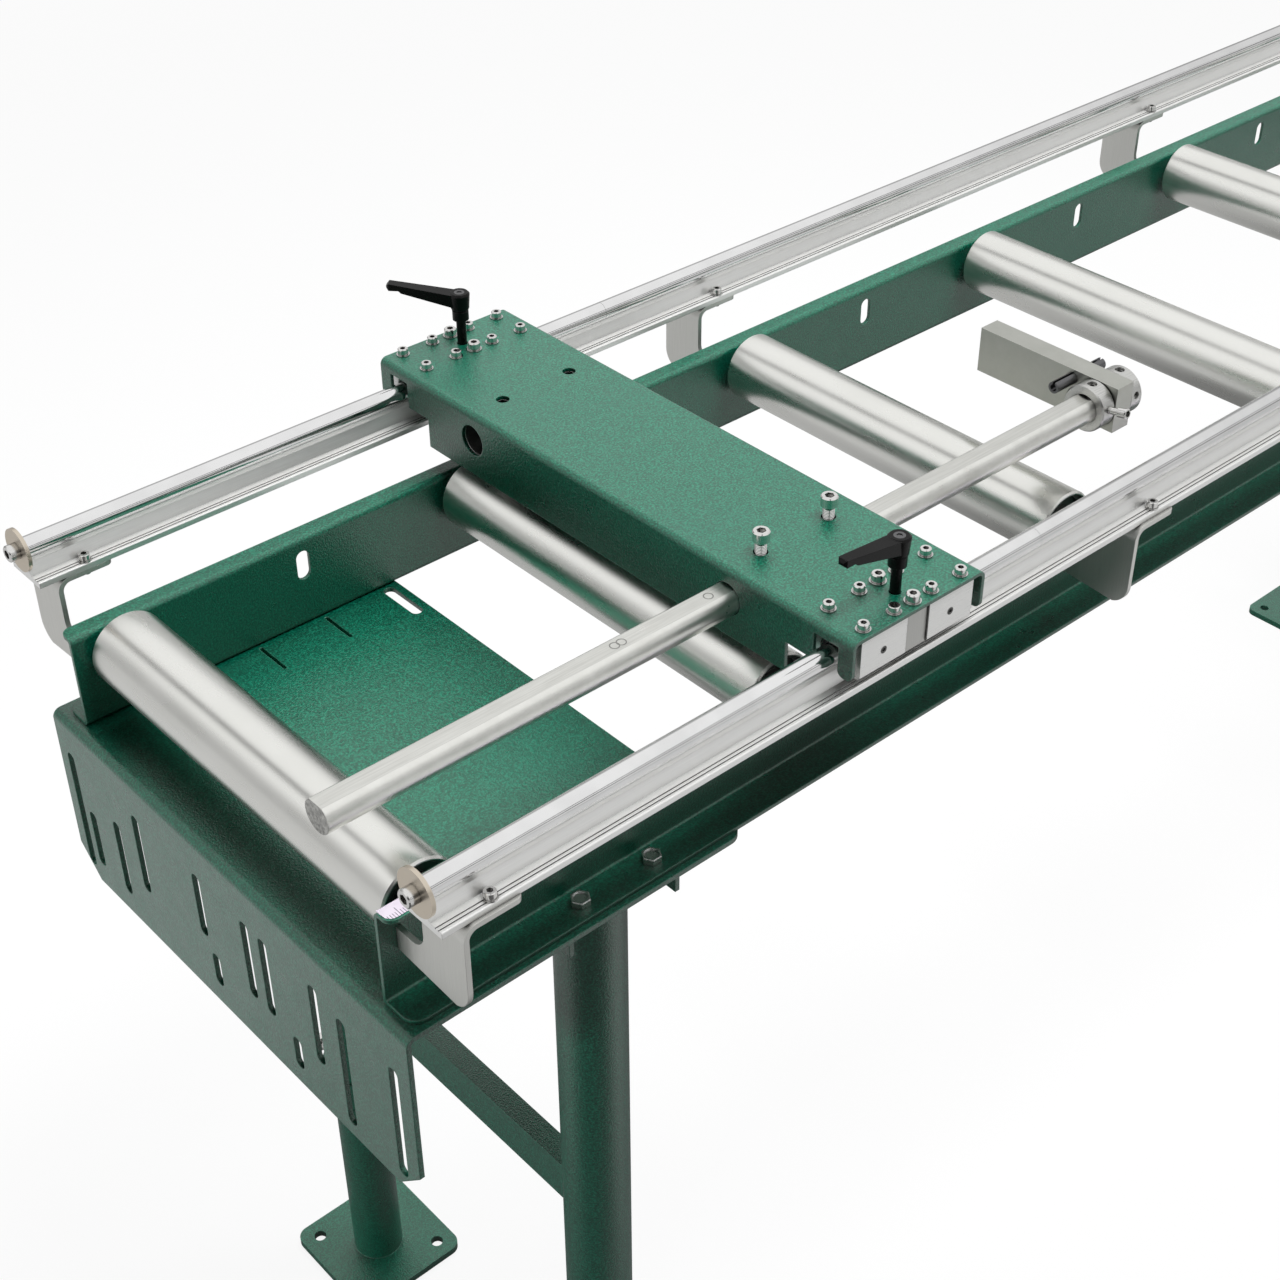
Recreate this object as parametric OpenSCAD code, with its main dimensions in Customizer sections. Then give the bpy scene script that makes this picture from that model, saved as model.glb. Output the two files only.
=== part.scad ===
// Roller table with two guide rails and a sliding length stop.
// X runs along the table, away from the saw end. Y runs across it. Z is up, with the floor at zero.

/* [Table] */
// Length of the two side rails and of the guides on them
rail_length = 2000; // [1700:20:2600]
// Height of the roller tops above the floor
table_height = 850; // [760:5:950]
// Clear width between the two side rails
rail_gap = 376; // [340:2:420]
// Height of the folded side rails
rail_height = 80; // [70:1:110]
// Thickness of the sheet of the side rails
rail_sheet = 3; // [2:0.5:4]
// Width of the narrow flange along the top of each side rail
top_flange = 16; // [14:1:20]
// Width of the wide flange along the bottom of each side rail
bottom_flange = 32; // [28:1:40]
// How far the roller tops stand above the side rails
roller_proud = 10; // [4:1:16]

/* [Rollers] */
// Number of rollers
roller_count = 7; // [5:1:9]
// Outside diameter of a roller
roller_d = 60; // [40:1:80]
// Length of a roller
roller_length = 360; // [320:2:372]
// Wall of the roller tube
roller_wall = 2.5; // [1.5:0.5:4]
// Distance of the end rollers from the rail ends
roller_inset = 40; // [36:1:80]
// Diameter of the fixed roller axle
axle_d = 12; // [10:1:16]

/* [Guides] */
// Diameter of the two guide shafts
shaft_d = 16; // [12:1:20]
// Distance of each guide shaft from the centre line of the table
guide_y = 241; // [236:1:262]
// Height of a guide shaft above the roller axes
guide_rise = 74; // [70:1:90]
// Height of a guide shaft above the foot of its aluminium rail
guide_centre_h = 25; // [22:0.5:30]
// Width of the foot of the aluminium rail
guide_base_w = 40; // [36:1:46]
// Thickness of the foot of the aluminium rail
guide_base_t = 5; // [4:0.5:7]
// Distance from the rail end to the joint in each guide shaft
shaft_joint = 555; // [300:5:900]
// Number of brackets that carry each guide
bracket_count = 4; // [3:1:6]
// Thickness of the bracket plate
bracket_t = 4; // [3:0.5:6]

/* [Carriage] */
// Rest position of the carriage, from the saw end of the rails
carriage_at = 405; // [200:5:900]
// Width of the carriage along the table
carriage_w = 132; // [124:1:160]
// Sheet thickness of the carriage
carriage_sheet = 3; // [2:0.5:4]
// Full depth of the carriage between the guides
carriage_depth = 56; // [50:1:60]
// Length and width of a bearing block
block_size = 45; // [40:1:50]
// Height of a bearing block
block_h = 33; // [30:1:36]
// Gap between the two bearing blocks of one guide
block_gap = 22; // [18:1:26]
// Length of the clamping lever arm
lever_length = 59; // [45:1:70]
// Direction of the near lever arm
near_lever_angle = 182; // [90:1:270]
// Direction of the far lever arm
far_lever_angle = 135; // [90:1:270]

/* [Length stop] */
// Diameter of the stop rod
rod_d = 25; // [20:1:27]
// Depth of the flat along the top of the stop rod
rod_flat = 2; // [1:0.5:4]
// Length of the stop rod
rod_length = 795; // [500:5:900]
// Distance of the stop rod from the centre line of the table
rod_y = 145; // [110:1:150]
// Distance that the stop rod sticks out past the saw end of the rails
rod_overhang = 6; // [0:1:10]
// Length of the stop bar
stop_length = 142; // [100:1:170]
// Height of the stop bar
stop_h = 40; // [36:1:44]
// Thickness of the stop bar
stop_t = 20; // [14:1:26]

/* [Saw adapter] */
// Length of the shelf under the rails
adapter_shelf = 295; // [280:5:340]
// Height of the upright face of the adapter
adapter_drop = 157; // [150:1:200]
// Sheet thickness of the adapter
adapter_sheet = 4; // [3:0.5:5]
// How far the adapter sticks out past the rails on each side
adapter_overhang = 5; // [3:1:20]

/* [Stands] */
// Distance of each stand from its end of the rails
stand_inset = 182; // [165:1:230]
// Distance of a column from the centre line of the table
column_y = 175; // [160:1:176]
// Outside diameter of a column
column_d = 54; // [48:1:58]
// Wall of a column
column_wall = 2.5; // [2:0.5:4]
// Clear height under the column of a stand
column_clear = 230; // [200:5:280]
// Overlap of the inner leg inside the column
leg_overlap = 240; // [180:5:260]
// Height of the top edge of the cross brace above the floor
brace_top = 420; // [400:5:500]
// Side of the square foot plate
foot_size = 120; // [100:5:150]

/* [Hidden] */
// Roundness of large, middle and small circles
fn_big = 96;
fn_mid = 64;
fn_small = 40;
hex_sides = 6;
// Small overrun of a cut past the face that it leaves
cut = 1;
// Gap of a seat that is drawn just clear, and of a welded edge
seat = 0.1;
// Gap between the tip of a lock screw and the round leg that it presses on
tip_gap = 0.3;
// Extra diameter of a threaded hole over its screw
thread_gap = 0.1;
// Radial clearance of a running fit
run_fit = 0.05;
// Shares of a socket head: depth of its key hole, key hole width against the thread, and edge
key_depth_share = 0.55;
key_width_share = 0.8;
head_edge_share = 0.1;
// Corner to corner width of a hexagon against its width across the flats
hex_corner = 1 / cos(30);

// Side rails
rail_start = -rail_length / 2;
rail_end = rail_length / 2;
web_in = rail_gap / 2;
web_out = web_in + rail_sheet;
roller_z = table_height - roller_d / 2;
rail_top = table_height - roller_proud;
rail_bottom = rail_top - rail_height;
bend_in = 2;
rail_corner = 12;
web_slot_w = 12;
web_slot_h = 26;
web_slot_drop = 4.5;
tape_w = 13;
tape_t = 0.4;
tape_end = 1;
tape_corner = 7;

// Rollers
roller_pitch = (rail_length - 2 * roller_inset) / (roller_count - 1);
function roller_x(i) = rail_start + roller_inset + i * roller_pitch;
roller_rim = 1.5;
hub_recess = 5;
hub_t = 14;
hub_boss_d = 30;
hub_boss_out = 4;
hub_dish = 3;
hub_dish_in = 20;
hub_dish_out = 48;
axle_screw_d = 8;
axle_screw_len = 18;
axle_head_d = 14;
axle_head_h = 4.5;

// Guides
guide_z = roller_z + guide_rise;
guide_foot_z = guide_z - guide_centre_h;
shaft_seg_gap = 0.2;
stem_foot_half = 8.5;
stem_top_half = 5;
stem_lip_half = 6;
stem_lip_h = 2;
groove_w = 1;
groove_depth = 0.8;
groove_edge = 2.5;
groove_pitch = 3;
guide_hole_half = 15;
guide_hole_d = 5.5;
guide_screw_d = 5;
guide_screw_head_d = 8.5;
guide_screw_head_h = 5;
guide_screw_tail = 2.5;
guide_washer_d = 10;
guide_washer_t = 1;
end_washer_d = 34;
end_washer_t = 3;
end_screw_d = 8;
end_screw_len = 16;
end_screw_head_d = 13;
end_screw_head_h = 8;

// Brackets
bracket_pitch = (rail_length - 2 * roller_inset) / (bracket_count - 1);
function bracket_x(i) = rail_start + roller_inset + i * bracket_pitch;
bracket_set_back = 27;
bracket_tab_fore = 20;
bracket_tab_round = 6;
bracket_bend = 7;
bracket_out_extra = 3;
bracket_arm_in = guide_y - guide_base_w / 2;
bracket_arm_out = guide_y + guide_base_w / 2 + bracket_out_extra;
bracket_drop = 23;
bracket_arm_top = roller_z;
bracket_arm_bottom = roller_z - bracket_drop;
bracket_rise = 5;
bracket_out_round = 18;
bracket_in_round = 14;

// Carriage
carriage_x = rail_start + carriage_at;
carriage_side = 24;
block_bore_h = 20;
block_top = guide_z + block_bore_h;
carriage_top = block_top + carriage_sheet;
carriage_bottom = carriage_top - carriage_depth;
carriage_half_y = guide_y + carriage_side;
carriage_bend_in = 3;
block_step = (block_size + block_gap) / 2;
block_screw_x = 15;
block_screw_y = 16;
block_screw_d = 5;
block_screw_len = 12;
block_screw_head_d = 8.5;
block_screw_head_h = 5;
block_washer_d = 11;
block_washer_t = 1;
block_mouth = 11;
block_mouth_low = 20;
block_edge = 2;
adjust_hole_d = 4.4;
adjust_hole_depth = 9;
adjust_hole_rise = 2.5;
clamp_recess = 1.5;
clamp_screw_d = 6;
clamp_screw_len = 14;
clamp_screw_head_d = 10;
clamp_screw_head_h = 6;
clamp_washer_d = 12.5;
clamp_washer_t = 1.2;
screw_hole_extra = 0.5;
lug_w = 13;
lug_drop = 9;
lug_bottom = guide_z - lug_drop;
lug_round = 5;
notch_in = 12;
notch_rise = 14;
notch_top = guide_z + notch_rise;
mid_drop = 8;
mid_bottom = guide_z - mid_drop;
mid_set_in = 38;
mid_in = guide_y - mid_set_in;

// Clamping levers
stem_d = 8;
stem_len = 22;
stem_depth = 12;
lever_foot_d = 13.5;
lever_foot_h = 9;
lever_neck = 1;
lever_hub_low_d = 15;
lever_hub_d = 17;
lever_hub_h = 15;
lever_hub_edge = 1.5;
lever_lift = 9;
lever_tip_w = 8;
lever_tip_h = 6;
lever_tip_round = 2;
lever_lip = 12;
lever_lip_step = 2;
lever_root_w = 13;
lever_root_h = 13;
lever_screw_d = 8.5;
lever_screw_h = 1.6;
lever_key = 4;

// Length stop
rod_drop = 2;
rod_z = guide_z - rod_drop;
rod_r = rod_d / 2;
rod_start = rail_start - rod_overhang;
rod_end = rod_start + rod_length;
guide_tube_wall = 4.5;
rod_hole_extra = 0.5;
rod_screw_x = 34;
rod_screw_d = 8;
rod_screw_head_d = 13;
rod_screw_head_h = 8;
rod_screw_rise = 10;
rod_screw_hole_d = 11;
collar_d = 40;
collar_w = 15;
collar_from_end = 5;
collar_edge = 1;
stop_x = rod_end - collar_from_end - collar_w - stop_t;
stop_back = 20;
collar_screw_d = 6;
collar_screw_head_d = 8.5;
collar_screw_head_h = 8;
collar_screw_reach = 30;
collar_screw_tilt = 12;
lock_screw_d = 8;
set_screw_sink = 2;
pin_d = 10;
pin_bore_d = 6;
pin_slot = 2.2;
pin_y = 25;
pin_rise = 12;
pin_near = 24;
pin_far = 17;

// Saw adapter
adapter_reach = 10;
adapter_front = rail_start - adapter_reach;
adapter_half_w = web_in + bottom_flange + adapter_overhang;
adapter_top = rail_bottom;
adapter_bend_in = 3;
adapter_chamfer = 25;
adapter_round = 14;
adapter_slot_w = 10;
// Slots of the upright face: distance from the centre line, top and bottom below the roller axes
adapter_slots = [
    [208, 92, 205], [190, 140, 194], [150, 124, 196], [115, 95, 170], [31, 95, 154], [20, 166, 197],
    [-31, 97, 170], [-54, 97, 170], [-84, 170, 200], [-115, 95, 170], [-147, 102, 205], [-206, 100, 205]];
shelf_cut_w = 3;
shelf_cut_gap = 2;
shelf_cut_len = 36;
shelf_cut_out = web_in - shelf_cut_gap;
shelf_cut_in = shelf_cut_out - shelf_cut_len;
shelf_cut_half = 31;
shelf_slot_w = 10;
shelf_slot_end = 12;
shelf_slot_len = 46;
shelf_slot_in = shelf_cut_out - shelf_slot_len;

// Stands
stand_left_x = rail_start + stand_inset;
stand_right_x = rail_end - stand_inset;
stand_half_w = 50;
stand_sheet = 4;
stand_bend_in = 3;
stand_depth = 26;
stand_set_in = 6;
stand_half_y = web_in + bottom_flange - stand_set_in;
brace_w = 20;
brace_h = 40;
brace_wall = 2;
leg_gap = 0.5;
leg_wall = 2.5;
foot_t = 8;
foot_round = 12;
foot_hole_d = 12;
foot_hole_in = 18;
collar_ring_h = 40;
collar_ring_t = 4;
leg_boss_d = 22;
leg_boss_l = 10;
leg_screw_d = 10;
leg_screw_head = 16;
leg_screw_head_h = 7;
leg_screw_out = 14;
rail_bolt_x = 32;
rail_bolt_out = 14;
rail_bolt_y = web_out + rail_bolt_out;
rail_bolt_d = 8;
rail_bolt_af = 13;
rail_bolt_head_h = 5.5;
rail_bolt_dish_d = 10;
rail_bolt_dish = 1;
rail_washer_d = 16;
rail_washer_t = 1.6;
rail_nut_h = 6.5;
bolt_tail = 4;

green = [0.05, 0.30, 0.22];
aluminium = [0.80, 0.80, 0.78];
chrome = [0.86, 0.87, 0.88];
steel = [0.62, 0.62, 0.61];
zinc = [0.66, 0.59, 0.49];
black = [0.05, 0.05, 0.06];
white = [0.93, 0.92, 0.94];

// Shapes that repeat

// Turns a profile drawn in Y and Z into a bar that runs along X from x0
module along_x(x0, length) {
    translate([x0, 0, 0]) rotate([90, 0, 90]) linear_extrude(height = length) children();
}

// Rod or hole of round section along X, centred on the point
module rod_x(d, length, fn) {
    rotate([0, 90, 0]) cylinder(d = d, h = length, center = true, $fn = fn);
}

// Rod or hole of round section along Y, centred on the point
module rod_y_axis(d, length, fn) {
    rotate([90, 0, 0]) cylinder(d = d, h = length, center = true, $fn = fn);
}

// Quarter of a folded sheet corner, centred on the bend axis, in the first quadrant
module bend_2d(r_in, sheet) {
    intersection() {
        difference() {
            circle(r = r_in + sheet, $fn = fn_mid);
            circle(r = r_in, $fn = fn_mid);
        }
        square([r_in + sheet, r_in + sheet]);
    }
}

// Piece that cuts one outer corner of a plate round, corner at the origin, plate toward minus X and Y
module corner_cut(r, depth) {
    difference() {
        translate([-r, -r, 0]) cube([r + cut, r + cut, depth]);
        translate([-r, -r, -cut]) cylinder(r = r, h = depth + 2 * cut, $fn = fn_mid);
    }
}

// Rounded rectangle, centred, as a profile
module rounded_2d(w, h, r) {
    square([w - 2 * r, h], center = true);
    square([w, h - 2 * r], center = true);
    for (sx = [-1, 1], sy = [-1, 1])
        translate([sx * (w / 2 - r), sy * (h / 2 - r)]) circle(r = r, $fn = fn_mid);
}

// Long hole with round ends, as a profile along its second axis, from low to high
module slot_2d(w, low, high) {
    translate([-w / 2, low + w / 2]) square([w, high - low - w]);
    translate([0, low + w / 2]) circle(d = w, $fn = fn_small);
    translate([0, high - w / 2]) circle(d = w, $fn = fn_small);
}

// Socket head screw pointing down, seat of the head at the origin
module socket_screw(d, length, head_d, head_h) {
    key_depth = head_h * key_depth_share;
    key_af = d * key_width_share;
    edge = head_h * head_edge_share;
    difference() {
        union() {
            translate([0, 0, -length]) cylinder(d = d, h = length + seat, $fn = fn_small);
            cylinder(d = head_d, h = head_h - edge, $fn = fn_small);
            translate([0, 0, head_h - edge])
                cylinder(d1 = head_d, d2 = head_d - 2 * edge, h = edge, $fn = fn_small);
        }
        translate([0, 0, head_h - key_depth])
            cylinder(d = key_af * hex_corner, h = key_depth + cut, $fn = hex_sides);
    }
}

// Flat washer standing on the origin
module washer(d_out, d_in, t) {
    difference() {
        cylinder(d = d_out, h = t, $fn = fn_small);
        translate([0, 0, -cut]) cylinder(d = d_in, h = t + 2 * cut, $fn = fn_small);
    }
}

// Hexagon nut standing on the origin
module hex_nut(af, bore, h) {
    difference() {
        cylinder(d = af * hex_corner, h = h, $fn = hex_sides);
        translate([0, 0, -cut]) cylinder(d = bore, h = h + 2 * cut, $fn = fn_small);
    }
}

// Runs the children on the near and on the far side, which mirror each other
module both_sides() {
    for (side = [0, 1]) mirror([0, side, 0]) children();
}

// Side rails

// Section of the far side rail: a channel that opens outward
module rail_section() {
    bend_out = bend_in + rail_sheet;
    translate([web_in, rail_bottom + bend_out]) square([rail_sheet, rail_height - 2 * bend_out]);
    translate([web_in + bend_out, rail_top - rail_sheet]) square([top_flange - bend_out, rail_sheet]);
    translate([web_in + bend_out, rail_bottom]) square([bottom_flange - bend_out, rail_sheet]);
    translate([web_in + bend_out, rail_top - bend_out]) mirror([1, 0]) bend_2d(bend_in, rail_sheet);
    translate([web_in + bend_out, rail_bottom + bend_out]) mirror([1, 0]) mirror([0, 1])
        bend_2d(bend_in, rail_sheet);
}

module rail_far_shape() {
    difference() {
        along_x(rail_start, rail_length) rail_section();
        // slots halfway between the rollers
        for (i = [0 : roller_count - 2])
            translate([(roller_x(i) + roller_x(i + 1)) / 2, web_out + cut, roller_z - web_slot_drop])
                rotate([90, 0, 0]) linear_extrude(height = rail_sheet + 2 * cut)
                    slot_2d(web_slot_w, -web_slot_h / 2, web_slot_h / 2);
        // seats of the axles
        for (i = [0 : roller_count - 1])
            translate([roller_x(i), (web_in + web_out) / 2, roller_z])
                rod_y_axis(axle_screw_d + screw_hole_extra, rail_sheet + 2 * cut, fn_small);
        // holes of the stand bolts
        for (sx = [stand_left_x, stand_right_x], s = [-1, 1])
            translate([sx + s * rail_bolt_x, rail_bolt_y, rail_bottom - cut])
                cylinder(d = rail_bolt_d + screw_hole_extra, h = rail_sheet + 2 * cut, $fn = fn_small);
        // round corners of both flanges at both ends
        for (s = [0, 1]) mirror([s, 0, 0]) {
            translate([rail_end, web_in + bottom_flange, rail_bottom - cut])
                corner_cut(rail_corner, rail_sheet + 2 * cut);
            translate([rail_end, web_in + top_flange, rail_top - rail_sheet - cut])
                corner_cut(top_flange / 2, rail_sheet + 2 * cut);
        }
    }
}

module rail_far() { color(green) rail_far_shape(); }

module rail_near() { color(green) mirror([0, 1, 0]) rail_far_shape(); }

// Self-adhesive scale on the near side rail
module measuring_tape() {
    tape_out = web_in + (top_flange + tape_w) / 2;
    color(white) mirror([0, 1, 0]) translate([0, 0, rail_top]) difference() {
        translate([rail_start + tape_end, tape_out - tape_w, 0])
            cube([rail_length - 2 * tape_end, tape_w, tape_t]);
        for (s = [0, 1]) mirror([s, 0, 0]) translate([rail_end - tape_end, tape_out, -cut])
            corner_cut(tape_corner, tape_t + 2 * cut);
    }
}

// Rollers

// Tube of a roller with turned-in rims
module roller_tube() {
    half = roller_length / 2;
    rotate([90, 0, 0]) rotate_extrude($fn = fn_big) polygon([
        [roller_d / 2 - roller_wall, -half], [roller_d / 2 - roller_rim, -half],
        [roller_d / 2, -half + roller_rim], [roller_d / 2, half - roller_rim],
        [roller_d / 2 - roller_rim, half], [roller_d / 2 - roller_wall, half]]);
}

// Pressed bearing housing at one end of a roller, drawn for the far end
module roller_hub() {
    hub_in = roller_length / 2 - hub_recess - hub_t;
    hub_out = roller_length / 2 - hub_recess;
    bore_r = axle_d / 2 + run_fit;
    rim_r = roller_d / 2 - roller_wall - thread_gap / 2;
    rotate([-90, 0, 0]) rotate_extrude($fn = fn_big) polygon([
        [bore_r, hub_in], [rim_r, hub_in], [rim_r, hub_out],
        [hub_dish_out / 2, hub_out], [hub_dish_out / 2, hub_out - hub_dish],
        [hub_boss_d / 2, hub_out - hub_dish], [hub_boss_d / 2, hub_out + hub_boss_out],
        [hub_dish_in / 2, hub_out + hub_boss_out], [hub_dish_in / 2, hub_out + hub_boss_out / 2],
        [bore_r, hub_out + hub_boss_out / 2]]);
}

module roller_shell(i) {
    color(aluminium) translate([roller_x(i), 0, roller_z]) roller_tube();
}

module roller_hubs(i) {
    color(black) translate([roller_x(i), 0, roller_z]) both_sides() roller_hub();
}

// Fixed axles that run between the side rails
module roller_axles() {
    color(steel) for (i = [0 : roller_count - 1]) translate([roller_x(i), 0, roller_z]) difference() {
        rod_y_axis(axle_d, rail_gap, fn_small);
        both_sides() translate([0, web_in - axle_screw_len / 2 + cut, 0])
            rod_y_axis(axle_screw_d + thread_gap, axle_screw_len, fn_small);
    }
}

// Low screws that hold the axles from outside the rails
module axle_screws() {
    grip = axle_screw_len - 2 * cut;
    color(steel) for (i = [0 : roller_count - 1]) translate([roller_x(i), 0, roller_z]) both_sides()
        translate([0, web_out, 0]) rotate([-90, 0, 0])
            socket_screw(axle_screw_d, grip, axle_head_d, axle_head_h);
}

// Guides

// Half section of the aluminium guide rail, foot on the first axis, shaft seat at the top
module guide_half_section() {
    half = guide_base_w / 2;
    grooves = [for (g = [0, 1], p = [0, 1, 2, 3])
        let (edge = half - groove_edge - g * groove_pitch, in = p < 2 ? 0 : groove_w)
            [edge - in, guide_base_t - (p == 1 || p == 2 ? groove_depth : 0)]];
    difference() {
        polygon(concat(
            [[0, 0], [half, 0], [half, guide_base_t - groove_depth],
             [half - groove_depth, guide_base_t]],
            grooves,
            [[stem_foot_half, guide_base_t], [stem_top_half, guide_centre_h - shaft_d / 2 - stem_lip_h],
             [stem_lip_half, guide_centre_h - shaft_d / 4], [0, guide_centre_h]]));
        translate([0, guide_centre_h]) circle(d = shaft_d + thread_gap, $fn = fn_mid);
    }
}

module guide_base_far_shape() {
    difference() {
        translate([0, guide_y, guide_foot_z]) along_x(rail_start, rail_length) {
            guide_half_section();
            mirror([1, 0]) guide_half_section();
        }
        for (i = [0 : bracket_count - 1], s = [-1, 1])
            translate([bracket_x(i), guide_y + s * guide_hole_half, guide_foot_z - cut])
                cylinder(d = guide_hole_d, h = guide_base_t + 2 * cut, $fn = fn_small);
    }
}

module guide_base_far() { color(aluminium) guide_base_far_shape(); }

module guide_base_near() { color(aluminium) mirror([0, 1, 0]) guide_base_far_shape(); }

// One guide shaft in two lengths, with a threaded hole in each outer end
module guide_shaft_far_shape() {
    joint = rail_start + shaft_joint;
    difference() {
        union() {
            translate([(rail_start + joint - shaft_seg_gap) / 2, guide_y, guide_z])
                rod_x(shaft_d, joint - rail_start - shaft_seg_gap, fn_mid);
            translate([(joint + rail_end) / 2, guide_y, guide_z])
                rod_x(shaft_d, rail_end - joint, fn_mid);
        }
        for (end = [rail_start, rail_end])
            translate([end, guide_y, guide_z])
                rod_x(end_screw_d + thread_gap, 2 * (end_screw_len + cut), fn_small);
    }
}

module guide_shaft_far() { color(chrome) guide_shaft_far_shape(); }

module guide_shaft_near() { color(chrome) mirror([0, 1, 0]) guide_shaft_far_shape(); }

// Runs the children at the four shaft ends, with Z pointing away from the shaft
module at_shaft_ends() {
    both_sides() for (s = [0, 1]) mirror([s, 0, 0])
        translate([rail_end, guide_y, guide_z]) rotate([0, 90, 0]) children();
}

module shaft_end_washers() {
    color(zinc) at_shaft_ends() washer(end_washer_d, end_screw_d + screw_hole_extra, end_washer_t);
}

module shaft_end_screws() {
    color(steel) at_shaft_ends() translate([0, 0, end_washer_t])
        socket_screw(end_screw_d, end_screw_len, end_screw_head_d, end_screw_head_h);
}

// Brackets

// Outline of one bracket in Y and Z: an arm out from the rail, then up to the guide
module bracket_outline() {
    top = guide_foot_z - bracket_t - bracket_bend;
    difference() {
        union() {
            polygon([
                [web_out, bracket_arm_bottom + bracket_rise], [bracket_arm_out, bracket_arm_bottom],
                [bracket_arm_out, top], [bracket_arm_in, top], [bracket_arm_in, bracket_arm_top],
                [web_out, bracket_arm_top]]);
            translate([bracket_arm_in - bracket_in_round, bracket_arm_top])
                square([bracket_in_round, bracket_in_round]);
        }
        translate([bracket_arm_in - bracket_in_round, bracket_arm_top + bracket_in_round])
            circle(r = bracket_in_round, $fn = fn_mid);
        difference() {
            translate([bracket_arm_out - bracket_out_round, bracket_arm_bottom - cut])
                square([bracket_out_round + cut, bracket_out_round + cut]);
            translate([bracket_arm_out - bracket_out_round, bracket_arm_bottom + bracket_out_round])
                circle(r = bracket_out_round, $fn = fn_mid);
        }
    }
}

// One bracket of the far side, with its tab folded under the guide and threaded for its screws
module bracket(x) {
    face = x - bracket_set_back;
    tab_start = face + bracket_bend + bracket_t;
    tab_end = x + bracket_tab_fore;
    arm_w = bracket_arm_out - bracket_arm_in;
    tab_z = guide_foot_z - bracket_t;
    difference() {
        union() {
            along_x(face, bracket_t) bracket_outline();
            translate([tab_start, bracket_arm_out, tab_z - bracket_bend])
                rotate([90, 0, 0]) linear_extrude(height = arm_w)
                    mirror([1, 0]) bend_2d(bracket_bend, bracket_t);
            translate([tab_start, bracket_arm_in, tab_z]) cube([tab_end - tab_start, arm_w, bracket_t]);
        }
        for (s = [-1, 1]) translate([x, guide_y + s * guide_hole_half, tab_z - cut])
            cylinder(d = guide_screw_d + thread_gap, h = bracket_t + 2 * cut, $fn = fn_small);
        translate([tab_end, bracket_arm_out, tab_z - cut])
            corner_cut(bracket_tab_round, bracket_t + 2 * cut);
        translate([tab_end, bracket_arm_in, tab_z - cut]) mirror([0, 1, 0])
            corner_cut(bracket_tab_round, bracket_t + 2 * cut);
    }
}

module guide_brackets() {
    color(aluminium) both_sides() for (i = [0 : bracket_count - 1]) bracket(bracket_x(i));
}

// Runs the children at every fixing hole of the guides
module at_guide_holes(z) {
    both_sides() for (i = [0 : bracket_count - 1], s = [-1, 1])
        translate([bracket_x(i), guide_y + s * guide_hole_half, z]) children();
}

module guide_screws() {
    grip = guide_base_t + guide_washer_t + bracket_t + guide_screw_tail;
    color(steel) at_guide_holes(guide_foot_z + guide_base_t + guide_washer_t)
        socket_screw(guide_screw_d, grip, guide_screw_head_d, guide_screw_head_h);
}

module guide_washers() {
    color(steel) at_guide_holes(guide_foot_z + guide_base_t)
        washer(guide_washer_d, guide_hole_d, guide_washer_t);
}

// Saw adapter

// Upright face of the adapter, as a profile in Y and Z with its slots
module adapter_face_2d() {
    top = adapter_top - adapter_bend_in - adapter_sheet;
    low = adapter_top - adapter_drop;
    difference() {
        polygon([
            [-adapter_half_w, top], [-adapter_half_w, low + adapter_chamfer],
            [-adapter_half_w + adapter_chamfer, low], [adapter_half_w - adapter_chamfer, low],
            [adapter_half_w, low + adapter_chamfer], [adapter_half_w, top]]);
        for (s = adapter_slots)
            translate([s[0], roller_z]) slot_2d(adapter_slot_w, -s[2], -s[1]);
    }
}

// Shelf of the adapter, as a profile in X and Y with its cut-outs
module adapter_shelf_2d() {
    back = adapter_front + adapter_bend_in + adapter_sheet;
    fore = adapter_front + adapter_shelf;
    difference() {
        union() {
            translate([back, -adapter_half_w]) square([fore - adapter_round - back, 2 * adapter_half_w]);
            translate([back, -adapter_half_w + adapter_round])
                square([fore - back, 2 * (adapter_half_w - adapter_round)]);
            for (s = [-1, 1]) translate([fore - adapter_round, s * (adapter_half_w - adapter_round)])
                circle(r = adapter_round, $fn = fn_mid);
        }
        for (side = [0, 1]) mirror([0, side]) {
            for (s = [-1, 1]) translate([stand_left_x + s * shelf_cut_half, 0])
                slot_2d(shelf_cut_w, shelf_cut_in, shelf_cut_out);
            translate([fore - shelf_slot_end, 0]) slot_2d(shelf_slot_w, shelf_slot_in, shelf_cut_out);
            for (s = [-1, 1]) translate([stand_left_x + s * rail_bolt_x, rail_bolt_y])
                circle(d = rail_bolt_d + screw_hole_extra, $fn = fn_small);
        }
    }
}

module adapter_plate() {
    bend_out = adapter_bend_in + adapter_sheet;
    color(green) {
        along_x(adapter_front, adapter_sheet) adapter_face_2d();
        translate([0, 0, adapter_top - adapter_sheet])
            linear_extrude(height = adapter_sheet) adapter_shelf_2d();
        translate([adapter_front + bend_out, adapter_half_w, adapter_top - bend_out])
            rotate([90, 0, 0]) linear_extrude(height = 2 * adapter_half_w)
                mirror([1, 0]) bend_2d(adapter_bend_in, adapter_sheet);
    }
}

// Stands

// Section of the top channel of a stand in X and Z, open downward, top face at zero
module stand_top_section() {
    bend_out = stand_bend_in + stand_sheet;
    translate([-stand_half_w + bend_out, -stand_sheet]) square([2 * (stand_half_w - bend_out), stand_sheet]);
    for (s = [0, 1]) mirror([s, 0]) {
        translate([stand_half_w - bend_out, -bend_out]) bend_2d(stand_bend_in, stand_sheet);
        translate([stand_half_w - stand_sheet, -stand_depth]) square([stand_sheet, stand_depth - bend_out]);
    }
}

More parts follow.
